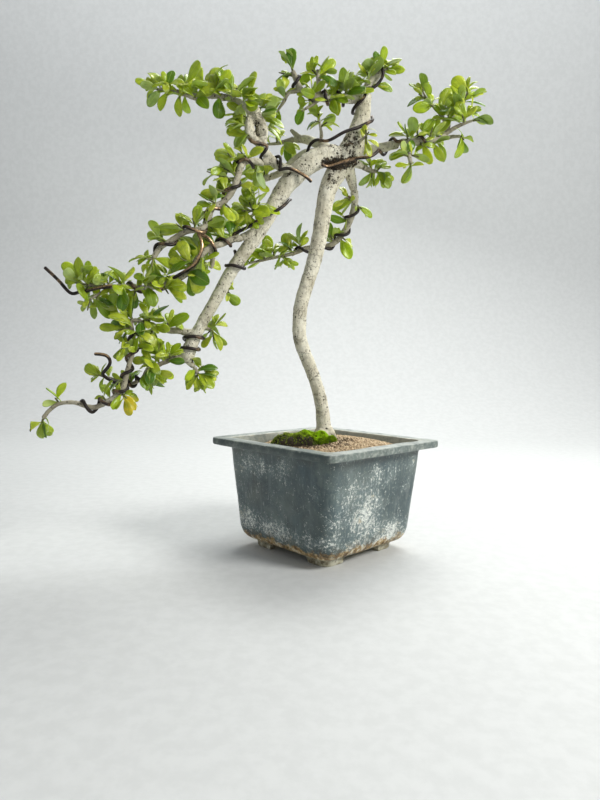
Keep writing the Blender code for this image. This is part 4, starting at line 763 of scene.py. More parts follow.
def draw_leaf(draw, spur, k, length, bars):
    """One try for leaf number k of a spur."""
    foot = Vector(spur[0])
    tip = Vector(spur[1])
    ahead = (tip - foot).normalized()
    e1 = ahead.orthogonal().normalized()
    e2 = ahead.cross(e1)
    if k == 0:
        lean = math.radians(draw.uniform(5, 30))
    else:
        lean = math.radians(draw.uniform(30, 75))
    turn = 2.4 * k + draw.uniform(-0.9, 0.9) + draw.uniform(0, math.tau) * (k == 0)
    along = ahead * math.cos(lean) + (e1 * math.cos(turn) + e2 * math.sin(turn)) * math.sin(lean)
    if draw.random() < FACING:
        along.y *= 0.55
        up = Vector((draw.uniform(-0.5, 0.5), draw.uniform(-1.0, -0.3), draw.uniform(0.0, 0.8)))
    else:
        up = Vector((draw.uniform(-0.7, 0.7), draw.uniform(-0.5, 0.6), draw.uniform(0.2, 1.0)))
    along.z += 0.12
    along.normalize()
    up = up - along * up.dot(along)
    if up.length < 0.2:
        up = along.orthogonal()
    up.normalize()
    long = length * draw.uniform(0.8, 1.2)
    width = long * draw.uniform(0.58, 0.72)
    _, grain, radius = nearest_bar(foot, bars)
    base = foot + grain * draw.uniform(-4.0, 4.0)
    if nearest_bar(base, bars)[0] > 0.3 * radius:
        base = foot
    depth = -0.5
    if ahead.cross(grain).length > 0.5 and radius > 1.3:
        depth = radius - 1.8
    base = base + ahead * depth
    long += min(5.0, 0.45 * (tip - foot).length)
    return base, along, up, long, width, draw.uniform(-0.04, 0.22)


def strikes(stem, whole, free, others):
    """Whether a leaf meets one of the others. Only its free part counts where it belongs to them."""
    return any((free if other.owner == stem else whole).meets(other) for other in others)


def grow_leaves(wood, stems, wires):
    """The leaves of every stem, rooted in its own wood and none through a bar, wire or other leaf."""
    thick = BLADE + 2 * BLADE_GAP
    bars = [Solid("wood", *round_skin(route, TEST_SIDES, BLADE_GAP)) for route in wood.values()]
    for stem, routes in stems.items():
        bars.extend(Solid(stem, *round_skin(route, TEST_SIDES, BLADE_GAP)) for route in routes)
    bars.extend(Solid("wire", *round_skin(route, TEST_SIDES, BLADE_GAP)) for route in wires.values())
    grown_leaves = []
    out = {}
    for stem, data in STEMS.items():
        out[stem] = []
        held = all_segments(stems[stem])
        own = [Solid(stem, *round_skin(route, TEST_SIDES, -ROOT_DEPTH)) for route in stems[stem]]
        for index, spur in enumerate(data["spurs"]):
            for k in range(spur[2]):
                draw = random.Random("%s spur %d leaf %d" % (stem, index, k))
                for _ in range(LEAF_TRIES):
                    leaf = draw_leaf(draw, spur, k, spur[3], held)
                    whole = Solid((stem, index), *blade_points(leaf, thick))
                    foot = leaf[0] + leaf[1] * FOOT_LENGTH
                    part = (foot, leaf[1], leaf[2], leaf[3] - FOOT_LENGTH, leaf[4], leaf[5])
                    free = Solid((stem, index), *blade_points(part, thick))
                    if not any(Solid(stem, *blade_points(leaf, BLADE)).meets(bar) for bar in own):
                        continue
                    if strikes((stem, index), whole, free, grown_leaves):
                        continue
                    if strikes(stem, whole, free, bars):
                        continue
                    grown_leaves.append(whole)
                    out[stem].append(leaf)
                    break
    return out


# Places in the shared frame
pot_low, pot_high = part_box("pot")
SHIFT = Vector(((pot_low.x + pot_high.x) / 2, (pot_low.y + pot_high.y) / 2, 0.0))


def to_row(point):
    """A place in millimetres about the pot, in metres in the shared frame."""
    return Vector(point) * TO_METRES + SHIFT


# Materials
class Shade:
    """A material, with short ways to add nodes to it and a colour that is built up in coats."""

    def __init__(self, name):
        self.material = bpy.data.materials.new(name)
        self.material.use_nodes = True
        self.tree = self.material.node_tree
        self.tree.nodes.clear()
        self.output = self.tree.nodes.new("ShaderNodeOutputMaterial")
        self.coords = self.tree.nodes.new("ShaderNodeTexCoord").outputs["Object"]
        self.colour = None

    def put(self, socket, value):
        """Link a socket, or set its constant."""
        if isinstance(value, bpy.types.NodeSocket):
            self.tree.links.new(value, socket)
        elif socket.type == "RGBA" and len(value) == 3:
            socket.default_value = (*value, 1.0)
        else:
            socket.default_value = value

    def node(self, kind, **values):
        """A new node with some of its sockets set. Spaces in their names are underscores."""
        made = self.tree.nodes.new("ShaderNode" + kind)
        for name, value in values.items():
            self.put(made.inputs[name.replace("_", " ")], value)
        return made

    def vector(self, kind, a, b):
        """One step of arithmetic on vectors."""
        made = self.node("VectorMath")
        made.operation = kind
        self.put(made.inputs[0], a)
        self.put(made.inputs[1], b)
        return made.outputs[0]

    def scaled(self, scale):
        """Coordinates stretched along the axes."""
        return self.vector("MULTIPLY", self.coords, scale)

    def shifted(self, scale, amount):
        """Coordinates pushed about by a noise."""
        made = self.node("TexNoise", Vector=self.coords, Scale=scale, Detail=2.0)
        centred = self.vector("SUBTRACT", made.outputs["Color"], (0.5, 0.5, 0.5))
        return self.vector("ADD", self.coords, self.vector("MULTIPLY", centred, (amount,) * 3))

    def noise(self, scale, detail=4.0, rough=0.5, vector=None, bend=0.0):
        """A cloudy noise."""
        made = self.node("TexNoise", Vector=vector or self.coords, Scale=scale, Detail=detail,
                         Roughness=rough, Distortion=bend)
        return made.outputs["Fac"]

    def cells(self, scale, vector, feature="F1"):
        """Distance and colour of a field of cells."""
        made = self.tree.nodes.new("ShaderNodeTexVoronoi")
        made.feature = feature
        self.put(made.inputs["Vector"], vector)
        self.put(made.inputs["Scale"], scale)
        if feature == "DISTANCE_TO_EDGE":
            return made.outputs["Distance"], None
        return made.outputs["Distance"], made.outputs["Color"]

    def math(self, kind, a, b=0.0, clamped=False):
        """One step of arithmetic."""
        made = self.node("Math")
        made.operation = kind
        made.use_clamp = clamped
        self.put(made.inputs[0], a)
        self.put(made.inputs[1], b)
        return made.outputs[0]

    def times(self, a, b):
        return self.math("MULTIPLY", a, b)

    def plus(self, a, b):
        return self.math("ADD", a, b)

    def minus(self, a, b):
        return self.math("SUBTRACT", a, b)

    def most(self, a, b):
        return self.math("MAXIMUM", a, b)

    def swing(self, value, amount):
        """A noise moved to lie about nothing, and sized."""
        return self.times(self.minus(value, 0.5), amount)

    def ease(self, value, low, high, first=0.0, last=1.0):
        """A smooth step from first at low to last at high."""
        made = self.node("MapRange", Value=value, From_Min=low, From_Max=high, To_Min=first, To_Max=last)
        made.interpolation_type = "SMOOTHSTEP"
        return made.outputs["Result"]

    def mix(self, share, a, b):
        """A blend of two colours."""
        made = self.node("Mix")
        made.data_type = "RGBA"
        self.put(made.inputs[0], share)
        self.put(made.inputs[6], a)
        self.put(made.inputs[7], b)
        return made.outputs[2]

    def coat(self, share, colour):
        """Lay a colour over the one so far."""
        self.colour = self.mix(share, self.colour, colour)

    def ramp(self, value, stops):
        """A colour looked up in a row of stops."""
        made = self.node("ValToRGB", Fac=value)
        row = made.color_ramp.elements
        while len(row) < len(stops):
            row.new(0.5)
        for element, (place, colour) in zip(row, stops):
            element.position = place
            element.color = (*colour, 1.0)
        return made.outputs[0]

    def split(self, vector):
        """The three parts of a vector."""
        return tuple(self.node("SeparateXYZ", Vector=vector).outputs)

    def kept(self, name):
        """Three numbers kept on the mesh."""
        made = self.node("Attribute")
        made.attribute_name = name
        return self.split(made.outputs["Vector"])

    def blob(self, centre, reach):
        """One at a place, falling to nothing at its reach along each axis."""
        moved = self.vector("SUBTRACT", self.coords, to_row(centre))
        sized = self.vector("DIVIDE", moved, tuple(r * TO_METRES for r in reach))
        far = self.node("VectorMath")
        far.operation = "LENGTH"
        self.put(far.inputs[0], sized)
        return self.ease(far.outputs["Value"], 0.0, 1.0, 1.0, 0.0)

    def bump(self, height, distance, strength=1.0, normal=None):
        """A normal tilted by a height."""
        made = self.node("Bump", Height=height, Distance=distance, Strength=strength)
        if normal is not None:
            self.put(made.inputs["Normal"], normal)
        return made.outputs[0]

    def surface(self, **values):
        """The main shader in the colour so far."""
        made = self.node("BsdfPrincipled", Base_Color=self.colour, **values)
        self.put(self.output.inputs["Surface"], made.outputs[0])
        return made.outputs[0]


# Lime crust on the pot: centre, reach and strength of each patch, thickest low at the right front
LIME_PATCHES = (
    ((36, -56, 44), (38, 40, 44), 0.34), ((62, -25, 22), (44, 44, 20), 0.34),
    ((-48, -40, 24), (46, 46, 15), 0.30), ((-80, -8, 27), (24, 24, 20), 0.26),
    ((26, -66, 15), (36, 32, 11), 0.32), ((2, -84, 24), (26, 26, 14), 0.18),
    ((60, -34, 78), (30, 30, 20), 0.13), ((-70, -22, 82), (26, 26, 22), 0.20),
    ((20, -72, 70), (16, 16, 30), 0.12), ((-70, -18, 30), (16, 20, 22), 0.15),
    ((8, -80, 46), (14, 14, 34), 0.15), ((78, -8, 84), (12, 12, 14), 0.20),
    ((60, -30, 13), (46, 46, 9), 0.30), ((-36, -54, 84), (14, 14, 16), 0.17),
    ((42, -48, 80), (12, 12, 16), 0.14), ((-20, -66, 22), (30, 30, 12), 0.16),
    ((-50, -40, 78), (34, 34, 22), 0.09), ((40, 52, 35), (34, 34, 28), 0.20),
    ((-46, 42, 24), (40, 40, 16), 0.20),
)
# Heights in metres between which the pot's look changes, and the edge of its mouth from its middle
CLAY_EDGE = (0.0062, 0.0085)
RUST_EDGE = (0.0132, 0.0166)
LOW_DARKENING_EDGE = (0.0140, 0.0270)
UNDER_RIM_SHADE_EDGE = (0.0850, 0.0930)
RIM_START = (0.0945, 0.0955)
LIP_START = (0.1000, 0.1012)
SHADOW_END = (0.1005, 0.1015)
TOP_START = (0.1008, 0.1020)
MOUTH_EDGE = (0.0640, 0.0652)


def glaze_ground(s, fine):
    """Slate blue glaze with clouds, tinges and run marks. Gives the clouds back."""
    wide = s.noise(22.0, 5.0, 0.6)
    run = s.noise(1.0, 5.0, 0.6, s.scaled((150.0, 150.0, 26.0)))
    s.colour = s.ramp(wide, [(0.30, (0.034, 0.056, 0.062)), (0.48, (0.062, 0.092, 0.096)),
                             (0.60, (0.085, 0.112, 0.106)), (0.74, (0.135, 0.172, 0.170))])
    tinge = s.noise(16.0, 4.0, 0.6, s.scaled((1.0, 1.0, 0.7)))
    s.coat(s.ease(tinge, 0.54, 0.68, 0.0, 0.45), (0.060, 0.108, 0.128))
    cloud = s.noise(48.0, 6.0, 0.72, s.scaled((1.0, 1.0, 0.8)), bend=0.6)
    s.coat(s.ease(cloud, 0.50, 0.66, 0.0, 0.50), (0.150, 0.190, 0.172))
    s.coat(s.ease(cloud, 0.34, 0.46, 0.50, 0.0), (0.028, 0.048, 0.050))
    s.coat(s.ease(tinge, 0.34, 0.46, 0.40, 0.0), (0.095, 0.098, 0.078))
    s.coat(s.ease(run, 0.50, 0.72, 0.0, 0.55), (0.17, 0.205, 0.20))
    s.coat(s.ease(fine, 0.52, 0.75, 0.0, 0.35), (0.21, 0.24, 0.23))
    return cloud


def glaze_crust(s):
    """White mineral crust in flecks over a thin veil, and scratches. Gives the crust's share back."""
    streak = s.noise(1.0, 6.0, 0.7, s.scaled((120.0, 120.0, 45.0)))
    patches = [s.times(s.blob(centre, reach), share) for centre, reach, share in LIME_PATCHES]
    total = patches[0]
    for patch in patches[1:]:
        total = s.plus(total, patch)
    crust = s.plus(s.plus(s.times(s.noise(55.0, 8.0, 0.72), 0.62), s.times(streak, 0.38)), total)
    tiny = s.noise(900.0, 3.0, 0.7)
    field = s.plus(crust, s.swing(s.noise(380.0, 6.0, 0.8), 1.9))
    field = s.plus(field, s.swing(tiny, 0.5))
    mask = s.ease(field, 0.68, 0.86, 0.0, 0.95)
    s.coat(s.ease(crust, 0.46, 0.80, 0.0, 0.55), (0.22, 0.29, 0.285))
    white = s.mix(s.ease(tiny, 0.38, 0.58), (0.42, 0.47, 0.44), (0.86, 0.88, 0.82))
    white = s.mix(s.ease(s.noise(75.0, 5.0, 0.7), 0.55, 0.66, 0.0, 0.7), white, (0.50, 0.43, 0.27))
    s.coat(mask, white)
    scratch = s.noise(1.0, 5.0, 0.75, s.scaled((560.0, 560.0, 70.0)))
    where = s.ease(s.noise(34.0, 4.0, 0.6), 0.42, 0.62)
    s.coat(s.times(s.ease(scratch, 0.59, 0.65, 0.0, 0.85), where), (0.46, 0.50, 0.46))
    return mask


def glaze_foot(s, z, cloud):
    """Darkening and rust along the lowest edge, bare clay on the feet, and painted shade under the rim."""
    low = s.plus(z, s.swing(s.noise(120.0, 6.0, 0.75), 0.030))
    rust = s.ramp(s.noise(150.0, 6.0, 0.75), [(0.38, (0.040, 0.034, 0.022)), (0.46, (0.27, 0.150, 0.045)),
                                             (0.53, (0.52, 0.38, 0.17)), (0.62, (0.78, 0.76, 0.64))])
    # Darker towards the bottom of the body, in patches
    low_darkening = s.times(s.ease(z, *LOW_DARKENING_EDGE, 0.85, 0.0), s.ease(s.noise(90.0, 6.0, 0.7), 0.44, 0.60))
    s.coat(low_darkening, (0.075, 0.070, 0.045))
    # Painted shade: a darker band under the rim's overhang, broken up by noise
    under_rim_shade = s.times(s.ease(z, *UNDER_RIM_SHADE_EDGE, 0.0, 0.55), s.ease(s.noise(60.0, 5.0, 0.7), 0.40, 0.60))
    s.coat(s.times(under_rim_shade, s.ease(z, *RIM_START, 1.0, 0.0)), (0.050, 0.058, 0.050))
    s.coat(s.times(s.ease(low, *RUST_EDGE, 1.0, 0.0), s.ease(cloud, 0.38, 0.50, 0.60, 0.95)), rust)
    clay = s.ramp(s.noise(130.0, 5.0, 0.65), [(0.34, (0.10, 0.080, 0.045)), (0.45, (0.30, 0.270, 0.175)),
                                              (0.55, (0.48, 0.465, 0.35)), (0.70, (0.74, 0.73, 0.61))])
    s.coat(s.ease(low, *CLAY_EDGE, 1.0, 0.0), clay)


def glaze_rim(s, x, y, z, fine):
    """Worn pale arrises of the rim, its top paler in worn patches and as painted light, its left front side
    darkened as painted shade, and a pale dried film on the walls inside.
    """
    worn = s.noise(95.0, 6.0, 0.75)
    rim = s.times(s.ease(z, *RIM_START), s.ease(worn, 0.36, 0.60, 0.20, 0.85))
    s.coat(rim, s.mix(s.ease(fine, 0.40, 0.62), (0.16, 0.19, 0.170), (0.35, 0.38, 0.335)))
    side = s.plus(s.minus(x, SHIFT.x), y)
    cross = s.minus(s.minus(x, SHIFT.x), y)
    # Painted light in part: the rim's top is paler in worn patches, less so along the shaded left front
    top = s.times(s.ease(z, *TOP_START), s.ease(worn, 0.38, 0.60, 0.15, 0.90))
    s.coat(s.times(top, s.ease(side, -0.0900, -0.0800, 0.30, 1.0)), (0.42, 0.455, 0.42))
    box = s.times(s.most(s.math("ABSOLUTE", side), s.math("ABSOLUTE", cross)), 0.70711)
    lip = s.times(s.ease(box, *MOUTH_EDGE, 1.0, 0.0), s.ease(z, *LIP_START))
    s.coat(s.times(lip, s.ease(worn, 0.40, 0.58, 0.2, 0.85)), (0.60, 0.57, 0.46))
    # Painted shade: the outer face of the rim along the left front is darkened
    shadow = s.times(s.ease(side, -0.1075, -0.1045, 1.0, 0.0), s.ease(worn, 0.38, 0.70, 0.95, 0.45))
    s.coat(s.times(shadow, s.ease(z, *SHADOW_END, 1.0, 0.0)), (0.050, 0.072, 0.070))
    inside, _, _ = s.kept("inside")
    s.coat(s.times(inside, s.ease(worn, 0.34, 0.60, 0.40, 0.90)), (0.30, 0.31, 0.26))


def glaze_material():
    """Weathered slate blue glaze with lime crust, bare clay at its foot, a worn rim, and painted light and
    shade about the rim.
    """
    s = Shade("slate_glaze")
    fine = s.noise(260.0, 5.0, 0.65)
    cloud = glaze_ground(s, fine)
    mask = glaze_crust(s)
    x, y, z = s.split(s.coords)
    glaze_foot(s, z, cloud)
    glaze_rim(s, x, y, z, fine)
    rough = s.math("ADD", s.ease(mask, 0.0, 1.0, 0.42, 0.86), s.swing(fine, 0.35), True)
    normal = s.bump(s.plus(s.times(fine, 0.5), s.times(mask, 0.8)), 0.00035, 0.8)
    normal = s.bump(s.noise(38.0, 4.0, 0.55), 0.0010, 0.6, normal)
    s.surface(Roughness=rough, Normal=normal, Specular_IOR_Level=0.45)
    return s.material


def bark_marks(s, crust_and_shade):
    """Dark marks in bark: pores of two sizes in some cells, cracks, pits, and holes round old wounds."""
    moved = s.shifted(300.0, 0.0016)
    far, tone = s.cells(300.0, moved)
    tone_x, _, _ = s.split(tone)
    pore = s.times(s.ease(far, 0.16, 0.30, 1.0, 0.0), s.ease(tone_x, 0.78, 0.82, 0.0, 1.0))
    far_small, tone_small = s.cells(520.0, moved)
    small_x, _, _ = s.split(tone_small)
    dot = s.times(s.ease(far_small, 0.20, 0.36, 1.0, 0.0), s.ease(small_x, 0.80, 0.84, 0.0, 0.75))
    edge, _ = s.cells(210.0, s.shifted(160.0, 0.0045), "DISTANCE_TO_EDGE")
    crack = s.times(s.ease(edge, 0.012, 0.050, 1.0, 0.0), s.ease(s.noise(85.0, 4.0, 0.6), 0.53, 0.60))
    pit = s.ease(s.noise(330.0, 5.0, 0.65, bend=0.8), 0.645, 0.69, 0.0, 0.85)
    marks = s.most(s.most(pore, dot), s.most(s.times(crack, 0.8), pit))
    hole = s.times(s.ease(far, 0.24, 0.38, 1.0, 0.0), s.ease(tone_x, 0.34, 0.40))
    return s.most(marks, s.times(hole, s.ease(crust_and_shade, 0.16, 0.42)))


def bark_material(name, relief):
    """Bark with dark marks: greyer and darker on young wood, and black crust that is partly rotten bark at
    wounds and partly painted shade, with greyer stretches of painted shade.
    """
    s = Shade(name)
    age, crust_and_shade, painted_grey_shade = s.kept("age")
    wide = s.noise(55.0, 5.0, 0.6)
    fine = s.noise(420.0, 5.0, 0.7)
    old = s.ramp(wide, [(0.28, (0.44, 0.405, 0.300)), (0.45, (0.62, 0.585, 0.455)),
                        (0.62, (0.72, 0.695, 0.57)), (0.78, (0.57, 0.575, 0.47))])
    new = s.ramp(wide, [(0.28, (0.19, 0.165, 0.115)), (0.48, (0.36, 0.330, 0.24)),
                        (0.66, (0.55, 0.52, 0.41)), (0.80, (0.42, 0.42, 0.32))])
    s.colour = s.mix(age, new, old)
    # Painted shade: a greyer coat over stretches of the limb and shoulder
    s.coat(s.times(painted_grey_shade, s.ease(wide, 0.35, 0.60, 1.0, 0.55)), (0.26, 0.25, 0.175))
    s.coat(s.ease(fine, 0.50, 0.72, 0.0, 0.50), (0.17, 0.15, 0.105))
    stain = s.noise(95.0, 6.0, 0.72, bend=0.6)
    s.coat(s.times(s.ease(stain, 0.53, 0.66), 0.60), (0.19, 0.175, 0.125))
    grain = s.noise(1.0, 5.0, 0.7, s.scaled((420.0, 420.0, 60.0)), bend=0.4)
    s.coat(s.ease(grain, 0.54, 0.66, 0.0, 0.38), (0.22, 0.20, 0.145))
    marks = bark_marks(s, crust_and_shade)
    s.coat(marks, (0.045, 0.038, 0.026))
    # Black crust: rotten bark at wounds, and in part painted shade under the crotch, on the shoulder and in
    # the knot's groove
    rot_and_shade = s.ease(s.plus(crust_and_shade, s.swing(s.noise(230.0, 6.0, 0.78), 2.4)), 0.50, 0.72)
    rot_and_shade = s.times(rot_and_shade, s.ease(crust_and_shade, 0.02, 0.20))
    s.coat(rot_and_shade, s.mix(s.ease(fine, 0.46, 0.62), (0.016, 0.013, 0.009), (0.105, 0.075, 0.042)))
    normal = s.bump(s.minus(s.times(fine, 0.7), s.times(marks, 0.9)), 0.00045, 0.9)
    normal = s.bump(s.noise(150.0, 5.0, 0.65), 0.0009, relief, normal)
    s.surface(Roughness=s.ease(fine, 0.2, 0.8, 0.72, 0.92), Normal=normal, Specular_IOR_Level=0.30)
    return s.material


def shoot_material():
    """Green-brown skin of this year's shoots."""
    s = Shade("young_shoot")
    wide = s.noise(240.0, 4.0, 0.6)
    s.colour = s.ramp(wide, [(0.35, (0.075, 0.085, 0.030)), (0.55, (0.16, 0.17, 0.065)),
                             (0.70, (0.30, 0.28, 0.17))])
    s.surface(Roughness=0.7, Normal=s.bump(wide, 0.0003, 0.8), Specular_IOR_Level=0.3)
    return s.material


def leaf_material():
    """Glossy blades with a midrib, side veins that run forward, a pale edge and a duller underside."""
    s = Shade("green_leaf")
    warm, deep, under = s.kept("tint")
    uv = s.node("UVMap")
    uv.uv_map = "blade"
    along, across, _ = s.split(uv.outputs[0])
    away = s.math("ABSOLUTE", s.minus(across, 0.5))
    s.colour = s.mix(deep, (0.530, 0.690, 0.010), (0.060, 0.185, 0.002))
    s.coat(warm, (0.70, 0.73, 0.070))
    s.coat(s.ease(warm, 1.1, 2.0, 0.0, 0.9), (0.90, 0.66, 0.020))
    patch = s.noise(160.0, 4.0, 0.6)
    s.coat(s.ease(patch, 0.42, 0.66, 0.0, 0.50), (0.10, 0.24, 0.003))
    line = s.math("FRACT", s.plus(s.times(along, 7.0), s.times(away, -7.0)))
    line = s.math("ABSOLUTE", s.minus(line, 0.5))
    vein = s.times(s.ease(line, 0.0, 0.09, 1.0, 0.0), s.ease(away, 0.30, 0.47, 1.0, 0.0))
    rib = s.ease(away, 0.010, 0.035, 1.0, 0.0)
    marks = s.most(s.times(vein, 0.28), s.times(rib, 0.60))
    s.coat(marks, (0.52, 0.65, 0.11))
    s.coat(s.ease(away, 0.44, 0.49, 0.0, 0.45), (0.62, 0.70, 0.30))
    s.coat(s.ease(along, 0.05, 0.30, 0.75, 0.0), (0.52, 0.60, 0.14))
    bloom = s.ease(s.noise(70.0, 3.0, 0.5), 0.42, 0.60, 0.45, 1.0)
    s.coat(s.times(s.times(under, 0.70), bloom), (0.58, 0.70, 0.34))
    normal = s.bump(s.minus(s.times(patch, 0.5), marks), 0.00022, 0.9)
    gloss = s.ease(under, 0.0, 1.0, 0.31, 0.60)
    made = s.surface(Roughness=gloss, Normal=normal, Specular_IOR_Level=0.80)
    glow = s.node("BsdfTranslucent", Color=s.mix(0.60, s.colour, (0.74, 0.86, 0.03)), Normal=normal)
    both = s.node("MixShader", Fac=0.38)
    s.put(both.inputs[1], made)
    s.put(both.inputs[2], glow.outputs[0])
    s.put(s.output.inputs["Surface"], both.outputs[0])
    return s.material


def copper_material():
    """Near-black wire, worn to shining copper in patches, with painted glints of copper along its lit side
    in places.
    """
    s = Shade("dark_copper")
    fine = s.noise(520.0, 4.0, 0.7)
    # Worn patches of bare copper, and painted glints that are kept on the mesh as worn
    painted_glint, _, _ = s.kept("worn")
    worn = s.most(s.ease(s.noise(60.0, 3.0, 0.55), 0.54, 0.66, 0.0, 0.26), painted_glint)
    worn = s.times(worn, s.ease(fine, 0.36, 0.56, 0.15, 1.0))
    s.colour = s.mix(s.ease(fine, 0.3, 0.7), (0.009, 0.007, 0.007), (0.028, 0.019, 0.016))
    s.coat(worn, (0.80, 0.53, 0.30))
    s.surface(Roughness=s.ease(worn, 0.0, 1.0, 0.46, 0.28), Metallic=s.ease(worn, 0.0, 1.0, 0.10, 1.0),
              Normal=s.bump(fine, 0.00012, 0.7), Specular_IOR_Level=0.32)
    return s.material


def soil_material():
    """Tan grit in several tones, some grains dark with damp."""
    s = Shade("tan_grit")
    tone, dark, _ = s.kept("tint")
    fine = s.noise(900.0, 5.0, 0.7)
    s.colour = s.mix(tone, (0.25, 0.165, 0.088), (0.66, 0.53, 0.35))
    s.coat(s.ease(fine, 0.40, 0.70, 0.0, 0.35), (0.80, 0.64, 0.46))
    s.coat(dark, (0.055, 0.036, 0.018))
    s.surface(Roughness=0.92, Normal=s.bump(fine, 0.0003, 0.8), Specular_IOR_Level=0.25)
    return s.material


def moss_material():
    """Bright green moss, dry and pale on one side, over dark earth."""
    s = Shade("moss_tufts")
    tone, earth, dry = s.kept("tint")
    fine = s.noise(800.0, 4.0, 0.7)
    s.colour = s.mix(tone, (0.016, 0.055, 0.003), (0.66, 0.95, 0.030))
    s.coat(dry, (0.33, 0.37, 0.085))
    s.coat(earth, s.mix(s.ease(fine, 0.3, 0.7), (0.010, 0.008, 0.004), (0.044, 0.034, 0.018)))
    s.surface(Roughness=0.88, Normal=s.bump(fine, 0.0004, 0.8), Specular_IOR_Level=0.25)
    return s.material


# Meshes
class Pile:
    """Corners, faces and kept numbers gathered from many small parts."""

    def __init__(self):
        self.corners = []
        self.faces = []
        self.rows = []

    def add(self, corners, faces, rows=()):
        """Add a part. Its faces count from its own first corner."""
        start = len(self.corners)
        self.faces.extend(tuple(i + start for i in face) for face in faces)
        self.corners.extend(corners)
        self.rows.extend(rows)


def link(ob):
    """Put an object in the scene."""
    bpy.context.scene.collection.objects.link(ob)


def keep(ob, name, rows):
    """Keep three numbers a corner point on a mesh."""
    made = ob.data.attributes.new(name, "FLOAT_VECTOR", "POINT")
    made.data.foreach_set("vector", np.asarray(rows, np.float32).ravel())


def numbers(ob, what="co"):
    """Places of a mesh's corners, or their directions, as an array."""
    out = np.empty(len(ob.data.vertices) * 3, np.float32)
    ob.data.vertices.foreach_get(what, out)
    return out.reshape(-1, 3)


def put_corners(ob, co):
    """Move a mesh's corners."""
    ob.data.vertices.foreach_set("co", co.astype(np.float32).ravel())


def settle(ob, material, nodes, smooth=True):
    """Bring a piece from millimetres to its place, give it its material, hang it from the root and hide the
    solids that it replaces.
    """
    co = numbers(ob) * TO_METRES + np.array(SHIFT, np.float32)
    # Every corner stays a hair inside the box of the solids
    inset = 0.00002
    co = np.clip(co, np.array(cad_low, np.float32) + inset, np.array(cad_high, np.float32) - inset)
    co[:, 2] = np.maximum(co[:, 2], 0.0)
    put_corners(ob, co)
    ob.data.materials.append(material)
    ob.data.polygons.foreach_set("use_smooth", [smooth] * len(ob.data.polygons))
    ob.data.update()
    link(ob)
    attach(ob, "root")
    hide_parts(*nodes)


def plain(name, corners, faces):
    """A mesh object from corners and faces as given."""
    mesh = bpy.data.meshes.new(name)
    mesh.from_pydata([tuple(c) for c in corners], [], faces)
    return bpy.data.objects.new(name, mesh)


def skin(name, corners, faces):
    """A mesh object from corners and faces, its faces turned outward."""
    ob = plain(name, corners, faces)
    bm = bmesh.new()
    bm.from_mesh(ob.data)
    bmesh.ops.recalc_face_normals(bm, faces=bm.faces)
    bm.to_mesh(ob.data)
    bm.free()
    return ob


def applied(ob, name, helpers=()):
    """A new object from one with modifiers. The first one and its helpers are removed."""
    bpy.context.view_layer.update()
    graph = bpy.context.evaluated_depsgraph_get()
    mesh = bpy.data.meshes.new_from_object(ob.evaluated_get(graph))
    mesh.name = name
    mesh.materials.clear()
    for old in (ob, *helpers):
        bpy.data.objects.remove(old)
    return bpy.data.objects.new(name, mesh)


def grown(name, routes, voxel):
    """One skin over several bars that grow into each other."""
    pile = Pile()
    for route in routes:
        pile.add(*tube(route, BARK_SIDES))
    rough = plain(name + "_rough", pile.corners, pile.faces)
    link(rough)
    step = rough.modifiers.new("skin", "REMESH")
    step.mode = "VOXEL"
    step.voxel_size = voxel
    even = rough.modifiers.new("even", "SMOOTH")
    even.factor = 0.5
    even.iterations = 2
    return applied(rough, name)


def step_between(value, low, high):
    """A smooth step from nothing at low to one at high."""
    t = np.clip((value - low) / (high - low), 0.0, 1.0)
    return t * t * (3 - 2 * t)


# Bark
# Lumps: fineness, shift and height of each layer of noise
BARK_LUMPS = ((0.16, (0, 0, 0), 0.55), (0.45, (9, 4, 2), 0.30), (1.1, (1, 7, 3), 0.16))
# Sides and fineness of the skins, and how strongly lumps stand out on the tree, a stem and the knotty stem
BARK_SIDES = 14
TREE_VOXEL = 0.76
STEM_VOXEL = 0.5
TREE_LUMPS = 1.0
STEM_LUMPS = 1.9
KNOT_LUMPS = 4.2
# Radii between which young bark gives way to old
AGE_RADII = (2.2, 4.4)
# Painted shade: greyer, darker stretches where the limb and shoulder lie in shade, each with its reach and
# strength
PAINTED_SHADE_STRETCHES = (
    ((-42, -14, 342), (42, 20, 26), 0.62), ((-92, -24, 262), (60, 30, 80), 0.26),
    ((30, -2, 414), (24, 18, 30), 0.10),
)
# Black crust where branches leave the trunk, partly rotten bark and partly painted shade under the crotch
# and on the shoulder, each patch with its reach and strength
CRUST_AND_SHADE = (
    ((5, -7, 351), (19, 12, 8), 1.0), ((22, -4, 354), (15, 12, 9), 0.85), ((2, -6, 338), (14, 10, 14), 0.55),
    ((14, -7, 368), (26, 12, 22), 0.54), ((-50, -14, 346), (14, 9, 12), 0.42),
    ((-60, -18, 358), (9, 8, 12), 0.36), ((26, 2, 408), (8, 8, 6), 0.5), ((-118, -33, 172), (8, 7, 5), 0.5),
    ((-34, -14, 340), (12, 8, 7), 0.5),
)
# Surface roots round the foot of the trunk
ROOTS = (
    [(2, -2, 112, 4.2), (5.5, -4, 107, 3.4), (9, -6, 102.5, 2.2), (12, -7, 99, 1.4)],
    [(-4, -5, 111, 3.8), (-7, -8, 104, 2.8), (-9, -10, 100, 1.8)],
    [(-5, 3, 111, 3.8), (-9, 5, 104, 2.8), (-12, 6, 100, 1.8)],
    [(2, 5, 111, 3.8), (5, 9, 104, 2.6), (7, 12, 100, 1.6)],
)
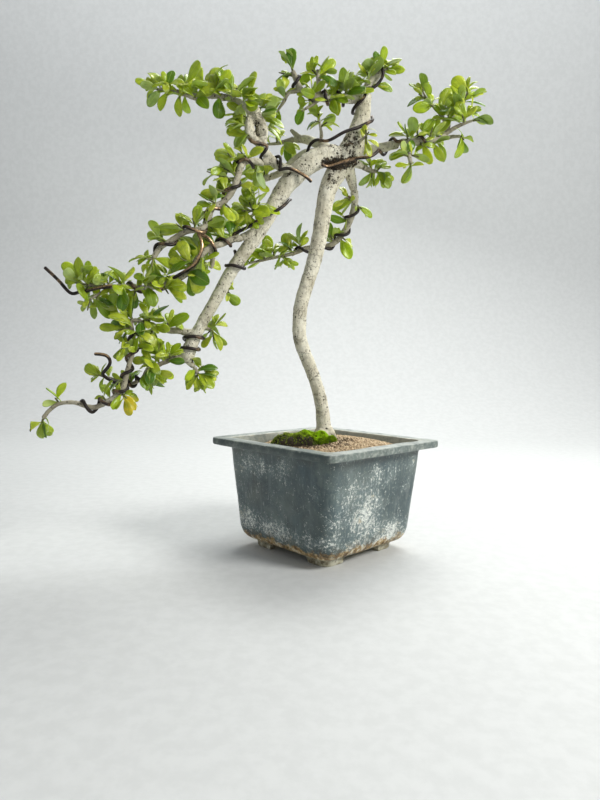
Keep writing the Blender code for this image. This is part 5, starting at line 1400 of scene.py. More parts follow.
# The knotty stem: the heights between which its bars swell and how much, bars that fill it, and its crust,
# dark in part as painted shade in its groove
KNOTTY = "upper_left"
SWELL_HEIGHTS = (364, 384)
SWELL = 1.34
KNOT_BARS = (
    [(-66.5, -18.0, 386, 2.6), (-65.2, -17.4, 378, 2.5), (-64.6, -17.0, 368, 2.4)],
    [(-69, -22.0, 392, 4.6), (-66.0, -23.6, 385, 5.4), (-65.0, -23.2, 380, 4.3)],
    [(-64.6, -20.8, 366.5, 3.4), (-63.0, -20.0, 361, 3.6), (-61.0, -19.0, 357, 3.2)],
)
KNOT_CRUST_AND_SHADE = (
    ((-65, -19, 374), (7, 6, 12), 0.66), ((-66, -24, 383), (8, 7, 8), 0.50),
    ((-66, -22, 378), (14, 12, 18), 0.44),
)


def radius_near(co, routes):
    """Radius of the bar nearest each place, measured against that radius."""
    rows = []
    for route in routes:
        for a, b in zip(route[:-1], route[1:]):
            rows.append(tuple(a))
            rows.append(tuple(a[i] + (b[i] - a[i]) * 0.5 for i in range(4)))
        rows.append(tuple(route[-1]))
    places = np.array([row[:3] for row in rows])
    radii = np.array([row[3] for row in rows])
    out = np.empty(len(co))
    block = 4000
    for start in range(0, len(co), block):
        part = co[start:start + block]
        away = np.linalg.norm(part[:, None, :] - places[None, :, :], axis=2) / radii[None, :]
        out[start:start + block] = radii[np.argmin(away, axis=1)]
    return out


def patch_share(co, patches, full):
    """The strongest of some patches at each place. Each is whole up to a share of its reach."""
    found = np.zeros(len(co))
    for centre, reach, share in patches:
        away = np.linalg.norm((co - np.array(centre)) / np.array(reach), axis=1)
        found = np.maximum(found, share * (1 - step_between(away, full, 1.0)))
    return found


def make_bark(name, routes, nodes, material, voxel, rough_share, crust=()):
    """Bark over bars, with lumps, and its age, its crust with painted shade, and its greyer stretches of
    painted shade kept on the mesh.
    """
    ob = grown(name, routes, voxel)
    co = numbers(ob).astype(float)
    radius = radius_near(co, routes)
    lumps = np.zeros(len(co))
    for i, p in enumerate(co):
        for scale, move, rise in BARK_LUMPS:
            lumps[i] += noise.noise(Vector(p) * scale + Vector(move)) * rise
    size = np.clip(radius / 7.0, 0.25, 1.15) * rough_share
    co = co + numbers(ob, "normal").astype(float) * (lumps * size)[:, None]
    put_corners(ob, co)
    age = step_between(radius, *AGE_RADII)
    keep(ob, "age", np.stack([age, patch_share(co, crust, 0.45), patch_share(co, PAINTED_SHADE_STRETCHES, 0.35)], axis=1))
    settle(ob, material, nodes)


def dressed_routes(stem, routes):
    """A stem's bars rounded for its bark. The knotty stem swells and gets more bars."""
    if stem == KNOTTY:
        low, high = SWELL_HEIGHTS
        swollen = []
        for route in routes:
            swollen.append([(x, y, z, r * (SWELL if low < z < high else 1.0)) for x, y, z, r in route])
        routes = swollen + list(KNOT_BARS)
    return [finer(route) for route in routes]


# Blades
# Where a blade is widest, and the rows and columns of its corners, as shares
WIDEST = 0.66
ALONG = (0.0, 0.09, 0.20, 0.33, 0.47, 0.60, 0.72, 0.82, 0.90, 0.965, 1.0)
ACROSS = (-1.0, -0.66, -0.3, 0.0, 0.3, 0.66, 1.0)
# Where a leaf has turned yellow, across and up, and how far round that
YELLOW = (-165, 134)
YELLOW_REACH = 7.0
# Young leaves to a spur, those of some stems, and those of a spur with one large leaf
YOUNG_MORE = 4
YOUNG_DENSE = {"upper_left": 7, "back_drop": 7, "top_left": 5, "back_lower": 5, "low_left": 5,
               "low_bough": 6, "middle_lower": 5, "limb_side": 5, "knob_twig": 6}
YOUNG_FEW = 2
# Their length as a share of a large leaf's, and that of some stems
YOUNG_LENGTH = (0.45, 0.78)
YOUNG_LONG = {"upper_left": (0.55, 0.90), "low_left": (0.50, 0.90), "low_bough": (0.50, 0.85),
              "middle_lower": (0.50, 0.85), "back_drop": (0.40, 0.70)}
# Stems whose young leaves don't hang
YOUNG_RISING = ("upper_left", "top_left", "apex_shoot", "right_branch", "middle_lower")
# Radii along a short shoot, the share of the way to its spur's tip that it reaches, and its sides
SHOOT_ROWS = ((0.0, 1.15), (0.3, 0.85), (0.65, 0.75), (1.0, 0.50))
SHOOT_SHARE = 0.8
SHOOT_SIDES = 7


def profile(s):
    """Half width of a blade at a share of its length: a wedge foot and a round tip."""
    if s < WIDEST:
        return 0.5 * (0.08 + 0.92 * math.sin(math.pi / 2 * s / WIDEST) ** 1.7)
    return 0.5 * math.sqrt(max(0.0, 1 - 0.98 * ((s - WIDEST) / (1 - WIDEST)) ** 2))


def blade_faces():
    """Faces of a closed blade: its two sides, and the strip round its edge."""
    wide = len(ACROSS)
    high = len(ALONG)
    count = wide * high
    faces = []
    for i in range(high - 1):
        for j in range(wide - 1):
            a = i * wide + j
            quad = (a, a + 1, a + wide + 1, a + wide)
            faces.append(tuple(reversed(quad)))
            faces.append(tuple(q + count for q in quad))
    rim = list(range(wide))
    rim += [i * wide + wide - 1 for i in range(1, high)]
    rim += [(high - 1) * wide + j for j in range(wide - 2, -1, -1)]
    rim += [i * wide for i in range(high - 2, 0, -1)]
    for a, b in zip(rim, rim[1:] + rim[:1]):
        faces.append((a, b, b + count, a + count))
    return faces


BLADE_FACES = blade_faces()


def fine_blade(leaf, draw):
    """Corners of a thin leaf on the frame of a plain one: bent, folded, its sides rolled down."""
    base, along, up, length, width, curl = leaf
    twist = draw.gauss(0.0, 0.42)
    up = (up * math.cos(twist) + along.cross(up) * math.sin(twist)).normalized()
    across = along.cross(up)
    width = width * draw.uniform(0.86, 1.08)
    bend = draw.uniform(0.20, 1.15)
    if draw.random() < 0.22:
        bend = draw.uniform(1.2, 1.9)
    fold = draw.uniform(0.15, 0.70)
    roll = draw.uniform(0.15, 0.65)
    wave = draw.uniform(0.01, 0.06)
    phase = draw.uniform(0, math.tau)
    lean = draw.uniform(-0.12, 0.12)
    teeth = draw.uniform(0.0, 0.03)
    rows = []
    for s in ALONG:
        half = profile(s) * width
        x = math.sin(bend * s) / bend * length
        sink = (1 - math.cos(bend * s)) / bend * length + curl * s * s * length * 0.5
        for v in ACROSS:
            y = v * half + lean * width * s * s
            z = half * (fold * abs(v) - roll * v * v) - sink
            z += wave * width * math.sin(phase + 8 * s + 2 * v) * abs(v) * s
            notch = teeth * length * s ** 6 * math.cos(7.5 * v)
            rows.append((x + notch, y, z, s, v))
    corners = []
    for side in (1, -1):
        for x, y, z, s, v in rows:
            thick = 0.17 + 0.22 * max(0.0, 1 - s * 5)
            edge = 0.35 if abs(v) > 0.95 else 1.0
            corners.append(base + along * x + across * y + up * (z + side * thick * edge))
    return corners


def young_leaves(stem, routes):
    """Smaller leaves that fill each spur between the large ones, by the same rule."""
    held = all_segments(routes)
    out = []
    for index, spur in enumerate(STEMS[stem]["spurs"]):
        many = YOUNG_DENSE.get(stem, YOUNG_MORE) if spur[2] > 1 else YOUNG_FEW
        for k in range(many):
            draw = random.Random("%s spur %d young %d" % (stem, index, k))
            share = draw.uniform(*YOUNG_LONG.get(stem, YOUNG_LENGTH))
            _, along, up, long, width, curl = draw_leaf(draw, spur, k + 1, spur[3] * share, held)
            base = Vector(spur[0]).lerp(Vector(spur[1]), draw.uniform(0.2, 0.8) * SHOOT_SHARE)
            if stem in YOUNG_RISING and along.z < 0:
                along = Vector((along.x, along.y, -0.8 * along.z)).normalized()
                up = (up - along * up.dot(along)).normalized()
            out.append((base, along, up, long, width, curl))
    return out


def make_shoots(stem, material):
    """The short thin shoots that carry the young leaves, one for each spur."""
    pile = Pile()
    for spur in STEMS[stem]["spurs"]:
        foot = Vector(spur[0])
        reach = (Vector(spur[1]) - foot) * SHOOT_SHARE
        route = [(*(foot + reach * t), r) for t, r in SHOOT_ROWS]
        pile.add(*tube(finer(route, 1), SHOOT_SIDES))
    settle(plain(stem + "_shoots", pile.corners, pile.faces), material, [stem])


def leaf_tone(draw, young):
    """How warm and how deep the green of one leaf is. Young ones are the palest."""
    warm = draw.uniform(0.0, 0.55) ** 1.2
    deep = draw.uniform(0.0, 0.9)
    if draw.random() < 0.10:
        warm = draw.uniform(0.7, 1.0)
        deep = 0.0
    if draw.random() < 0.27:
        deep = 1.0
        warm = 0.0
    if young:
        warm = max(warm, draw.uniform(0.1, 0.8))
        deep = deep * 0.5
    return warm, deep


def make_leaves(stem, routes, leaves, material):
    """All blades of a stem as one piece, each with its own tone. The young ones come last."""
    pile = Pile()
    places = [(s, 0.5 + 0.5 * v) for s in ALONG for v in ACROSS] * 2
    count = len(places) // 2
    uvs = []
    for index, leaf in enumerate(leaves + young_leaves(stem, routes)):
        draw = random.Random("%s look %d" % (stem, index))
        points = fine_blade(leaf, draw)
        warm, deep = leaf_tone(draw, index >= len(leaves))
        if stem == "joint_leaf":
            warm, deep = 0.95, 0.0
        centre = sum(points, Vector()) / len(points)
        if math.hypot(centre.x - YELLOW[0], centre.z - YELLOW[1]) < YELLOW_REACH:
            warm, deep = 2.0, 0.0
        pile.add(points, BLADE_FACES, [(warm, deep, 0.0)] * count + [(warm, deep, 1.0)] * count)
        uvs.extend(places)
    ob = skin(stem + "_leaves", pile.corners, pile.faces)
    layer = ob.data.uv_layers.new(name="blade")
    loops = np.empty(len(ob.data.loops), np.int32)
    ob.data.loops.foreach_get("vertex_index", loops)
    layer.data.foreach_set("uv", np.array(uvs, np.float32)[loops].ravel())
    keep(ob, "tint", pile.rows)
    settle(ob, material, [stem])


# Dressed wires
WIRE_SIDES = 10
# Clearance below which a wire is pressed to the bark, and how quickly
PRESS_REACH = 2.9
PRESS_EASE = 0.8
# Where the bark has grown over the wire, how far that reaches, and how far up and back the wire goes in
BURIED = (Vector((10, -12, 350)), 21.0)
BURIED_LIFT = 4.0
BURIED_DEPTH = 9.0
# Painted glints: places where a copper highlight is painted along the wire's lit side, their reach, and how
# far over its lit side the glint starts
LIT_SIDE = Vector((0.1, -0.62, 0.78))
PAINTED_GLINTS = (
    ((-110, -50, 264), 26.0, 0.40), ((16, -10, 350), 27.0, 0.30), ((-24, -15, 338), 14.0, 0.45),
    ((-150, -48, 240), 18.0, 0.45), ((-100, -42, 300), 14.0, 0.45), ((-186, -52, 233), 20.0, 0.50),
    ((30, -4, 412), 7.0, 0.55), ((-190, -60, 176), 10.0, 0.55), ((-60, -28, 330), 10.0, 0.50),
    ((-96, -34, 300), 10.0, 0.50),
)


def bark_near(p, bars):
    """Clearance from a point to the nearest bar, with the spot on its middle line and its radius."""
    best = None
    for a, b, radius_a, radius_b in bars:
        t, spot = nearest_on(p, a, b)
        radius = radius_a + (radius_b - radius_a) * t
        clear = (p - spot).length - radius
        if best is None or clear < best[0]:
            best = (clear, spot, radius)
    return best


def pressed(p, bars):
    """A point of a wire moved onto the bark, or into it where the bark has grown over."""
    clear, spot, radius = bark_near(p, bars)
    sunk = 1 - float(step_between((p - BURIED[0]).length, BURIED[1] * 0.65, BURIED[1]))
    if sunk > 0:
        back = p + Vector((0, 0, BURIED_LIFT))
        while bark_near(back, bars)[0] > WIRE_RADIUS * 0.25 and back.y < p.y + BURIED_DEPTH:
            back.y += 0.25
        return p.lerp(back, sunk)
    if clear < PRESS_REACH:
        away = (p - spot).normalized()
        ease = clamp((PRESS_REACH - clear) / PRESS_EASE)
        return p.lerp(spot + away * (radius + WIRE_RADIUS * 0.92), ease)
    return p


def painted_glint_share(p, middle):
    """How strongly a painted glint lies on a corner of a wire."""
    share = 0.0
    lit = (p - middle).normalized().dot(LIT_SIDE)
    for centre, reach, start in PAINTED_GLINTS:
        near = 1 - float(step_between((p - Vector(centre)).length, reach * 0.5, reach))
        share = max(share, near * float(step_between(lit, start, start + 0.26)))
    return share


def make_wire(name, route, bars, material):
    """A round wire pressed close to the bark it is wound on."""
    points = [pressed(Vector(row[:3]), bars) for row in finer(route)]
    for _ in range(2):
        before = list(points)
        for i in range(1, len(points) - 1):
            points[i] = before[i] * 0.6 + (before[i - 1] + before[i + 1]) * 0.2
    corners, faces = tube([(*p, WIRE_RADIUS) for p in points], WIRE_SIDES)
    # Painted glints along each ring's lit side, kept as worn
    worn = []
    for start in range(0, len(corners), WIRE_SIDES):
        ring = corners[start:start + WIRE_SIDES]
        middle = sum(ring, Vector()) / WIRE_SIDES
        worn.extend((painted_glint_share(p, middle), 0.0, 0.0) for p in ring)
    ob = plain(name + "_copper", corners, faces)
    keep(ob, "worn", worn)
    settle(ob, material, [name])


# Pot
CORNER_STEPS = 8
SIDE_STEPS = 16
EDGE_REACH = 1.6
SHARP_ANGLE = 42
COS_TURN = math.cos(math.radians(POT_TURN))
SIN_TURN = math.sin(math.radians(POT_TURN))
# Its section from the middle of its underside, over the rim and down to its floor: side, corner, height
POT_ROWS = [
    (FOOT_SIDE - 2.0, 8, 0), (FOOT_SIDE, 8, 0.6), (FOOT_SIDE + 1.0, 8, 5.5), (108, 11, 9), (115, 12, 14),
    (118, 12, 20), (123.4, 12, 50), (127.6, 12, 74), (NECK_SIDE, 12, 93.5),
    (RIM_SIDE - 3, RIM_CORNER - 0.7, RIM_UNDER), (RIM_SIDE, RIM_CORNER, RIM_UNDER + 1.0),
    (RIM_SIDE, RIM_CORNER, RIM_TOP - 1.2), (RIM_SIDE - 1.6, RIM_CORNER - 0.5, RIM_TOP),
    (127.6, 8.4, RIM_TOP), (MOUTH_SIDE, 8, 101.2), (121, 8, 94.5), (107, 8, 22), (98, 7, FLOOR_TOP),
]


def turned(x, y):
    """A place on the pot's own axes, turned like the pot."""
    return x * COS_TURN - y * SIN_TURN, x * SIN_TURN + y * COS_TURN


def square_ring(side, corner, z):
    """A square with rounded corners, turned like the pot."""
    half = side / 2 - corner
    middles = [(half, half), (-half, half), (-half, -half), (half, -half)]
    out = []
    for quarter in range(4):
        cx, cy = middles[quarter]
        for k in range(CORNER_STEPS + 1):
            a = math.pi / 2 * quarter + math.pi / 2 * k / CORNER_STEPS
            out.append((*turned(cx + corner * math.cos(a), cy + corner * math.sin(a)), z))
        end = math.pi / 2 * (quarter + 1)
        nx, ny = middles[(quarter + 1) % 4]
        x0, y0 = cx + corner * math.cos(end), cy + corner * math.sin(end)
        x1, y1 = nx + corner * math.cos(end), ny + corner * math.sin(end)
        for k in range(1, SIDE_STEPS):
            t = k / SIDE_STEPS
            out.append((*turned(x0 + (x1 - x0) * t, y0 + (y1 - y0) * t), z))
    return out


def rounded_rows(rows, reach):
    """Rows of (side, corner, z) with each inner corner of the section cut twice to round it."""
    for _ in range(2):
        out = [rows[0]]
        for i in range(1, len(rows) - 1):
            a, b, c = (exact(rows[k]) for k in (i - 1, i, i + 1))
            for other in (a, c):
                span = np.linalg.norm((other - b)[[0, 2]])
                out.append(tuple(b + (other - b) * (min(reach, span * 0.33) / max(span, 1e-6))))
        out.append(rows[-1])
        rows = out
        reach = reach * 0.5
    return rows


def prism(name, first, second):
    """A closed body between two outlines."""
    count = len(first)
    faces = [tuple(range(count)), tuple(range(count, 2 * count))] + belt(0, count, count)
    return skin(name, first + second, faces)


def pot_cutters():
    """Bodies that cut the arches between the feet, and the drain hole."""
    low = ARCH_WIDTH / 2
    half_arch = [(low + 1, -5), (low - 0.6, 2.0), (low - 2.0, FOOT_HEIGHT - 1.6),
                 (low - 4, FOOT_HEIGHT - 0.4), (low - 7, FOOT_HEIGHT)]
    outline = [(-x, z) for x, z in half_arch] + half_arch[::-1]
    out = []
    for turn in (POT_TURN, POT_TURN + 90):
        spin = Matrix.Rotation(math.radians(turn), 4, "Z")
        near, far = ([spin @ Vector((x, y, z)) for x, z in outline] for y in (-90.0, 90.0))
        out.append(prism("pot_arch", near, far))
    angles = [math.tau * k / 32 for k in range(32)]
    ring = [(DRAIN_RADIUS * math.cos(a), DRAIN_RADIUS * math.sin(a)) for a in angles]
    under, over = ([Vector((x, y, z)) for x, y in ring] for z in (-12.0, 28.0))
    out.append(prism("pot_drain", under, over))
    return out


def make_pot(material):
    """The pot: soft arrises, slightly uneven walls, arches between its feet and a drain hole."""
    rings = [square_ring(*row) for row in rounded_rows(POT_ROWS, EDGE_REACH)]
    count = len(rings[0])
    last = (len(rings) - 1) * count
    faces = [tuple(reversed(range(count)))]
    for start in range(0, last, count):
        faces.extend(belt(start, start + count, count))
    faces.append(tuple(range(last, last + count)))
    body = skin("pot_body", [p for ring in rings for p in ring], faces)
    link(body)
    cutters = pot_cutters()
    for cutter in cutters:
        link(cutter)
        step = body.modifiers.new("cut", "BOOLEAN")
        step.operation = "DIFFERENCE"
        step.object = cutter
        step.solver = "EXACT"
    ob = applied(body, "pot_glazed", cutters)
    co = numbers(ob).astype(float)
    no = numbers(ob, "normal").astype(float)
    # The walls are made uneven, but not the lowest edge or the drain hole
    for i, p in enumerate(co):
        if p[2] > 2.0 and math.hypot(p[0], p[1]) > 12:
            amount = noise.noise(Vector(p) * 0.035) * 0.45 + noise.noise(Vector(p) * 0.16) * 0.16
            co[i] = p + no[i] * (amount - 0.30)
    put_corners(ob, co)
    u = co[:, 0] * COS_TURN + co[:, 1] * SIN_TURN
    v = co[:, 1] * COS_TURN - co[:, 0] * SIN_TURN
    box = np.maximum(np.abs(u), np.abs(v))
    inward = (no[:, :2] * co[:, :2]).sum(axis=1) < 0
    held = (inward & (co[:, 2] > 20.0) & (box < MOUTH_SIDE / 2 + 0.8)).astype(float)
    keep(ob, "inside", np.stack([held, held, held], axis=1))
    settle(ob, material, ["pot"])
    for edge in ob.data.edges:
        edge.use_edge_sharp = False
    ob.data.set_sharp_from_angle(angle=math.radians(SHARP_ANGLE))


# Soil and moss
GROUND_STEP = 1.6
GROUND_HALF = 60.0
GRIT_SPACING = 1.75
GRIT_HALF = 59.2
TUFTS = 7200
TUFT_BLADES = 4
MOSS_AROUND = 72
MOSS_SHARES = (1.0, 0.985, 0.96, 0.92, 0.86, 0.78, 0.68, 0.56, 0.42, 0.28, 0.14, 0.0)
TUFT_FACES = ((0, 1, 2, 3), (3, 2, 4))
SLOPE_STEP = 0.6
# How deep the ground lies under the grit, its tone, and how near grit comes to the trunk and the moss
GROUND_DEPTH = 1.2
GROUND_TINT = (0.25, 0.55, 0.0)
GRIT_FROM_TRUNK = 9.0
GRIT_FROM_MOSS = 0.86
# A regular body with twelve corners and twenty faces, and its radius
STONE_RADIUS = 1.9
GOLDEN = (1 + math.sqrt(5)) / 2
STONE_CORNERS = ((-1, GOLDEN, 0), (1, GOLDEN, 0), (-1, -GOLDEN, 0), (1, -GOLDEN, 0), (0, -1, GOLDEN),
                 (0, 1, GOLDEN), (0, -1, -GOLDEN), (0, 1, -GOLDEN), (GOLDEN, 0, -1), (GOLDEN, 0, 1),
                 (-GOLDEN, 0, -1), (-GOLDEN, 0, 1))
STONE_FACES = ((0, 11, 5), (0, 5, 1), (0, 1, 7), (0, 7, 10), (0, 10, 11), (1, 5, 9), (5, 11, 4), (11, 10, 2),
               (10, 7, 6), (7, 1, 8), (3, 9, 4), (3, 4, 2), (3, 2, 6), (3, 6, 8), (3, 8, 9), (4, 9, 5),
               (2, 4, 11), (6, 2, 10), (8, 6, 7), (9, 8, 1))


def mound(x, y):
    """Height of the soil."""
    drop = SOIL_DROP * (math.hypot(x, y) / SOIL_REACH) ** 1.7
    return SOIL_PEAK - drop - SOIL_LEFT_DROP * max(0.0, (-x - 42.0) / 45.0)


def moss_wave(a):
    """How far the moss's outline departs from an oval."""
    return 1 + 0.07 * math.sin(3 * a + 1) + 0.05 * math.sin(5 * a)


def moss_share(x, y):
    """Zero at the moss's middle, one at its rim."""
    dx = (x - MOSS_CENTRE[0]) / MOSS_HALF[0]
    dy = (y - MOSS_CENTRE[1]) / MOSS_HALF[1]
    return math.hypot(dx, dy) / moss_wave(math.atan2(dy, dx))


def grain_shape(draw, size):
    """Corners of one stone: a twenty-sided body knocked out of shape."""
    angle = draw.uniform(0, math.tau)
    spin = Matrix.Rotation(angle, 3, Vector((draw.random(), draw.random(), draw.random() + 0.1)))
    stretch = (draw.uniform(0.75, 1.35), draw.uniform(0.75, 1.2), draw.uniform(0.6, 1.0))
    out = []
    for row in STONE_CORNERS:
        k = size / STONE_RADIUS * draw.uniform(0.8, 1.15)
        out.append(spin @ Vector([value * wide * k for value, wide in zip(row, stretch)]))
    return out


def ground():
    """The ground under the grit: a grid turned like the pot, left open where the trunk stands."""
    pile = Pile()
    count = int(GROUND_HALF * 2 / GROUND_STEP) + 1
    for i in range(count):
        for j in range(count):
            x, y = turned(-GROUND_HALF + i * GROUND_STEP, -GROUND_HALF + j * GROUND_STEP)
            rough = 0.5 * noise.noise(Vector((x, y, 0)) * 0.5)
            pile.add([Vector((x, y, mound(x, y) - GROUND_DEPTH + rough))], [], [GROUND_TINT])
    for i in range(count - 1):
        for j in range(count - 1):
            a = i * count + j
            middle = (pile.corners[a] + pile.corners[a + count + 1]) * 0.5
            if math.hypot(middle.x, middle.y) > TRUNK_HOLE_RADIUS - 2:
                pile.faces.append((a, a + count, a + count + 1, a + 1))
    return pile


def damp(x, y):
    """How damp the soil is: most in front of the trunk and round the moss."""
    trunk = 1 - step_between(math.hypot((x - 15) / 13.0, (y + 12) / 10.0), 0.5, 1.15)
    return max(trunk, 1 - step_between(moss_share(x, y), 1.0, 1.28 + 0.5 * (y < MOSS_CENTRE[1])))


def make_soil(material):
    """Soil under a layer of loose grit, darker by the moss and the trunk."""
    draw = random.Random("grit")
    pile = ground()
    rows = int(GROUND_HALF * 2 / GRIT_SPACING)
    for i in range(rows):
        for j in range(rows):
            u = -GROUND_HALF + (i + 0.5 + draw.uniform(-0.4, 0.4)) * GRIT_SPACING
            v = -GROUND_HALF + (j + 0.5 + draw.uniform(-0.4, 0.4)) * GRIT_SPACING
            if abs(u) > GRIT_HALF or abs(v) > GRIT_HALF:
                continue
            x, y = turned(u, v)
            if math.hypot(x, y) < GRIT_FROM_TRUNK or moss_share(x, y) < GRIT_FROM_MOSS:
                continue
            size = draw.uniform(0.75, 1.25)
            if draw.random() < damp(x, y) * 0.75:
                dark = draw.uniform(0.55, 1.0)
                size *= 1.25
            elif draw.random() < 0.05:
                dark = draw.uniform(0.3, 0.9)
            else:
                dark = draw.uniform(0.0, 0.12)
            stone = grain_shape(draw, size)
            place = Vector((x, y, mound(x, y) - 0.35 + draw.uniform(-0.35, 0.25)))
            tone = draw.uniform(0.15, 1.0)
            pile.add([p + place for p in stone], STONE_FACES, [(tone, dark, 0.0)] * len(stone))
    ob = plain("soil_grit", pile.corners, pile.faces)
    keep(ob, "tint", pile.rows)
    settle(ob, material, ["soil"], smooth=False)


def moss_height(x, y):
    """Height of the moss cushion's skin over the ground."""
    share = min(1.0, moss_share(x, y))
    wide = 0.50 * noise.noise(Vector((x * 0.17, y * 0.17, 3.0)))
    lumps = 0.72 + wide + 0.16 * noise.noise(Vector((x * 0.5, y * 0.5, 7.0)))
    return 1.2 + (MOSS_RISE - 0.6) * max(0.0, 1 - share ** 4) ** 0.5 * lumps


def moss_place(share, a):
    """The place at a share of the way from the moss's middle to its rim, in one direction."""
    wave = moss_wave(a)
    x = MOSS_CENTRE[0] + MOSS_HALF[0] * share * wave * math.cos(a)
    y = MOSS_CENTRE[1] + MOSS_HALF[1] * share * wave * math.sin(a)
    return x, y


def moss_facing(x, y):
    """The direction that the cushion's skin faces."""
    hx = (moss_height(x + SLOPE_STEP, y) - moss_height(x - SLOPE_STEP, y)) / (2 * SLOPE_STEP)
    hy = (moss_height(x, y + SLOPE_STEP) - moss_height(x, y - SLOPE_STEP)) / (2 * SLOPE_STEP)
    return Vector((-hx, -hy, 1.0)).normalized()


def bare_earth(x, y, share):
    """How bare the earth lies: along the moss's near left side, away from its middle."""
    up = y - MOSS_CENTRE[1]
    left = 1 - step_between(x + 0.35 * up, -18.0, -10.0)
    front = 1 - step_between(up, -1.5, 5.0)
    return float(left * front * step_between(share, 0.30, 0.52))


def cushion():
    """The moss's skin, in rings from its rim to its middle."""
    pile = Pile()
    for share in MOSS_SHARES:
        for k in range(MOSS_AROUND):
            x, y = moss_place(share, math.tau * k / MOSS_AROUND)
            rise = 0.2 if share == 1.0 else moss_height(x, y) - 0.9
            rough = 0.5 * noise.noise(Vector((x, y, 5.0)) * 0.9)
            corner = Vector((x, y, mound(x, y) + rise + rough * min(1.0, rise)))
            pile.add([corner], [], [(0.15, max(0.65, bare_earth(x, y, share)), 0.1)])
    for start in range(0, (len(MOSS_SHARES) - 1) * MOSS_AROUND, MOSS_AROUND):
        pile.faces.extend(belt(start, start + MOSS_AROUND, MOSS_AROUND))
    return pile


def add_tuft(pile, draw, x, y, share, earth):
    """One tuft of four short shoots."""
    up = moss_facing(x, y)
    root = Vector((x, y, mound(x, y) + moss_height(x, y) - 1.3))
    up = (up + Vector((draw.uniform(-0.45, 0.45), draw.uniform(-0.45, 0.45), 0.1))).normalized()
    tall = draw.uniform(1.1, 1.9)
    side = up.orthogonal().normalized()
    other = up.cross(side)
    dry = float(1 - step_between(x + 0.2 * draw.uniform(-20, 20), -30.0, -12.0))
    dry = dry * draw.uniform(0.3, 1.0)
    low = float(step_between(share, 0.70, 1.0))
    clump = 0.5 + 0.9 * noise.noise(Vector((x * 0.33, y * 0.33, 11.0)))
    tone = min(1.0, max(0.12, draw.uniform(0.42, 0.95) + clump - 0.35)) * (1 - 0.55 * low)
    foot_tint = (tone * 0.35, earth * 0.5, dry)
    bend_tint = (tone * 0.8, earth * 0.4, dry)
    tints = [foot_tint, foot_tint, bend_tint, bend_tint, (tone, earth * 0.3, dry)]
    for b in range(TUFT_BLADES):
        a = math.tau * (b + draw.random()) / TUFT_BLADES
        out = side * math.cos(a) + other * math.sin(a)
        across = up.cross(out).normalized() * 0.22
        reach = draw.uniform(0.45, 0.85)
        bend = root + up * tall * 0.62 + out * reach * 0.5
        tip = root + up * tall + out * reach
        pile.add([root - across, root + across, bend + across, bend - across, tip], TUFT_FACES, tints)


def make_moss(material):
    """A cushion of short shoots over dark earth that shows along its near left side."""
    draw = random.Random("tufts")
    pile = cushion()
    for _ in range(TUFTS):
        share = math.sqrt(draw.random())
        x, y = moss_place(share, draw.uniform(0, math.tau))
        earth = bare_earth(x, y, share)
        if draw.random() >= earth * 0.93:
            add_tuft(pile, draw, x, y, share, earth)
    ob = plain("moss_cushion", pile.corners, pile.faces)
    keep(ob, "tint", pile.rows)
    settle(ob, material, ["moss"])


# Surroundings
# Camera: lens and sensor in millimetres, the angles that it looks down and leans by, and its place
LENS = 27.87
SENSOR = 36.0
PITCH = math.radians(3.61)
ROLL = math.radians(0.874)
CAMERA_PLACE = (-24.2, -574.8, 173.8)
# Lamps: name, place, aim, size in metres, watts and colour
LAMPS = (
    ("key", (1050, -620, 950), (0, 0, 220), (0.5, 0.5), 20.0, (1.0, 0.985, 0.95)),
    ("back", (260, 620, 1150), (-20, 0, 250), (0.9, 0.7), 13.5, (1.0, 1.0, 0.97)),
    ("fill", (-1100, -600, 500), (0, 0, 200), (1.2, 1.2), 0.8, (0.93, 0.96, 1.0)),
    ("wash", (0, 500, 1900), (0, 1350, 1250), (2.6, 0.6), 15.0, (0.97, 0.985, 1.0)),
)
WORLD_COLOUR = (0.93, 0.95, 1.0, 1.0)
WORLD_STRENGTH = 0.31
# Floor in metres: half its width, where it starts to rise, the bend's radius and steps, and its top
FLOOR_HALF = 4.0
RISE_START = 0.75
RISE_RADIUS = 0.6
RISE_STEPS = 12
BACKDROP_TOP = 3.2


def floor_material():
    """Pale matt card with faint specks."""
    s = Shade("pale_floor")
    speck = s.noise(90.0, 5.0, 0.6)
    s.colour = s.mix(s.ease(speck, 0.35, 0.65), (0.575, 0.59, 0.585), (0.61, 0.625, 0.62))
    s.surface(Roughness=0.75, Specular_IOR_Level=0.3, Normal=s.bump(speck, 0.0004, 0.3))
    return s.material


def make_floor():
    """Floor and backdrop in one sweep."""
    line = [(-3.0, 0.0), (-1.0, 0.0), (0.2, 0.0)]
    for k in range(RISE_STEPS + 1):
        a = math.pi / 2 * k / RISE_STEPS
        line.append((RISE_START + RISE_RADIUS * math.sin(a), RISE_RADIUS - RISE_RADIUS * math.cos(a)))
    line.append((RISE_START + RISE_RADIUS, BACKDROP_TOP))
    points = [(x, y, z) for y, z in line for x in (-FLOOR_HALF, FLOOR_HALF)]
    faces = [(2 * i, 2 * i + 1, 2 * i + 3, 2 * i + 2) for i in range(len(line) - 1)]
    floor = plain("pale_floor", points, faces)
    floor.data.materials.append(floor_material())
    floor.data.polygons.foreach_set("use_smooth", [True] * len(floor.data.polygons))
    link(floor)


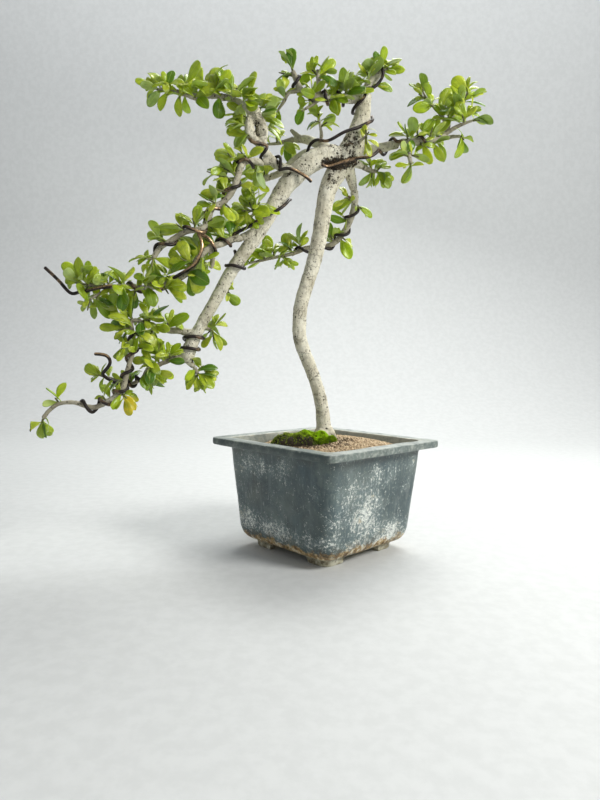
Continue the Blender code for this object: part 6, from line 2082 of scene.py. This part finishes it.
def make_camera():
    """The camera, placed and turned as for the photograph."""
    sideways = Vector((1, 0, 0))
    forward = Vector((0, math.cos(PITCH), -math.sin(PITCH)))
    upright = Vector((0, math.sin(PITCH), math.cos(PITCH)))
    right = sideways * math.cos(ROLL) + upright * math.sin(ROLL)
    top = upright * math.cos(ROLL) - sideways * math.sin(ROLL)
    data = bpy.data.cameras.new("camera")
    data.lens = LENS
    data.sensor_width = SENSOR
    data.clip_start = 0.01
    camera = bpy.data.objects.new("camera", data)
    turn = Matrix((right, top, -forward)).transposed().to_4x4()
    camera.matrix_world = Matrix.Translation(to_row(CAMERA_PLACE)) @ turn
    link(camera)
    bpy.context.scene.camera = camera


def soft_light(name, place, aim, size, watts, colour):
    """A broad lamp that faces a point."""
    data = bpy.data.lights.new(name, "AREA")
    data.shape = "RECTANGLE"
    data.size, data.size_y = size
    data.energy = watts
    data.color = colour
    lamp = bpy.data.objects.new(name, data)
    lamp.location = to_row(place)
    lamp.rotation_mode = "QUATERNION"
    lamp.rotation_quaternion = (to_row(aim) - to_row(place)).to_track_quat("-Z", "Y")
    link(lamp)


def make_world():
    """Even pale light from all round."""
    world = bpy.data.worlds.new("studio")
    bpy.context.scene.world = world
    world.use_nodes = True
    background = world.node_tree.nodes["Background"]
    background.inputs["Color"].default_value = WORLD_COLOUR
    background.inputs["Strength"].default_value = WORLD_STRENGTH


# Everything together
wood = wood_routes()
stems = {stem: stem_routes(stem) for stem in STEMS}
wires = wire_routes(wood, stems)
leaves = grow_leaves(wood, stems, wires)

glaze = glaze_material()
bark = bark_material("cream_bark", 0.5)
twig = bark_material("twig_bark", 0.6)
shoot = shoot_material()
green = leaf_material()
copper = copper_material()
grit = soil_material()
moss = moss_material()

make_pot(glaze)
make_soil(grit)
make_moss(moss)

wood_fine = [finer(route, 1 if name in THICK else 2) for name, route in wood.items()]
roots = [finer(root) for root in ROOTS]
make_bark("tree_bark", wood_fine + roots, ["tree_wood"], bark, TREE_VOXEL, TREE_LUMPS, CRUST_AND_SHADE)
near_bars = all_segments(wood_fine)
for stem, routes in stems.items():
    fine_routes = dressed_routes(stem, routes)
    near_bars.extend(all_segments(fine_routes[:len(routes)]))
    lumps, crust = (KNOT_LUMPS, KNOT_CRUST_AND_SHADE) if stem == KNOTTY else (STEM_LUMPS, ())
    make_bark(stem + "_bark", fine_routes, [stem], twig, STEM_VOXEL, lumps, crust)
    make_shoots(stem, shoot)
    make_leaves(stem, routes, leaves[stem], green)
for name, route in wires.items():
    make_wire(name, route, near_bars, copper)

make_floor()
make_camera()
for lamp in LAMPS:
    soft_light(*lamp)
make_world()
bpy.context.scene.view_settings.view_transform = "Standard"
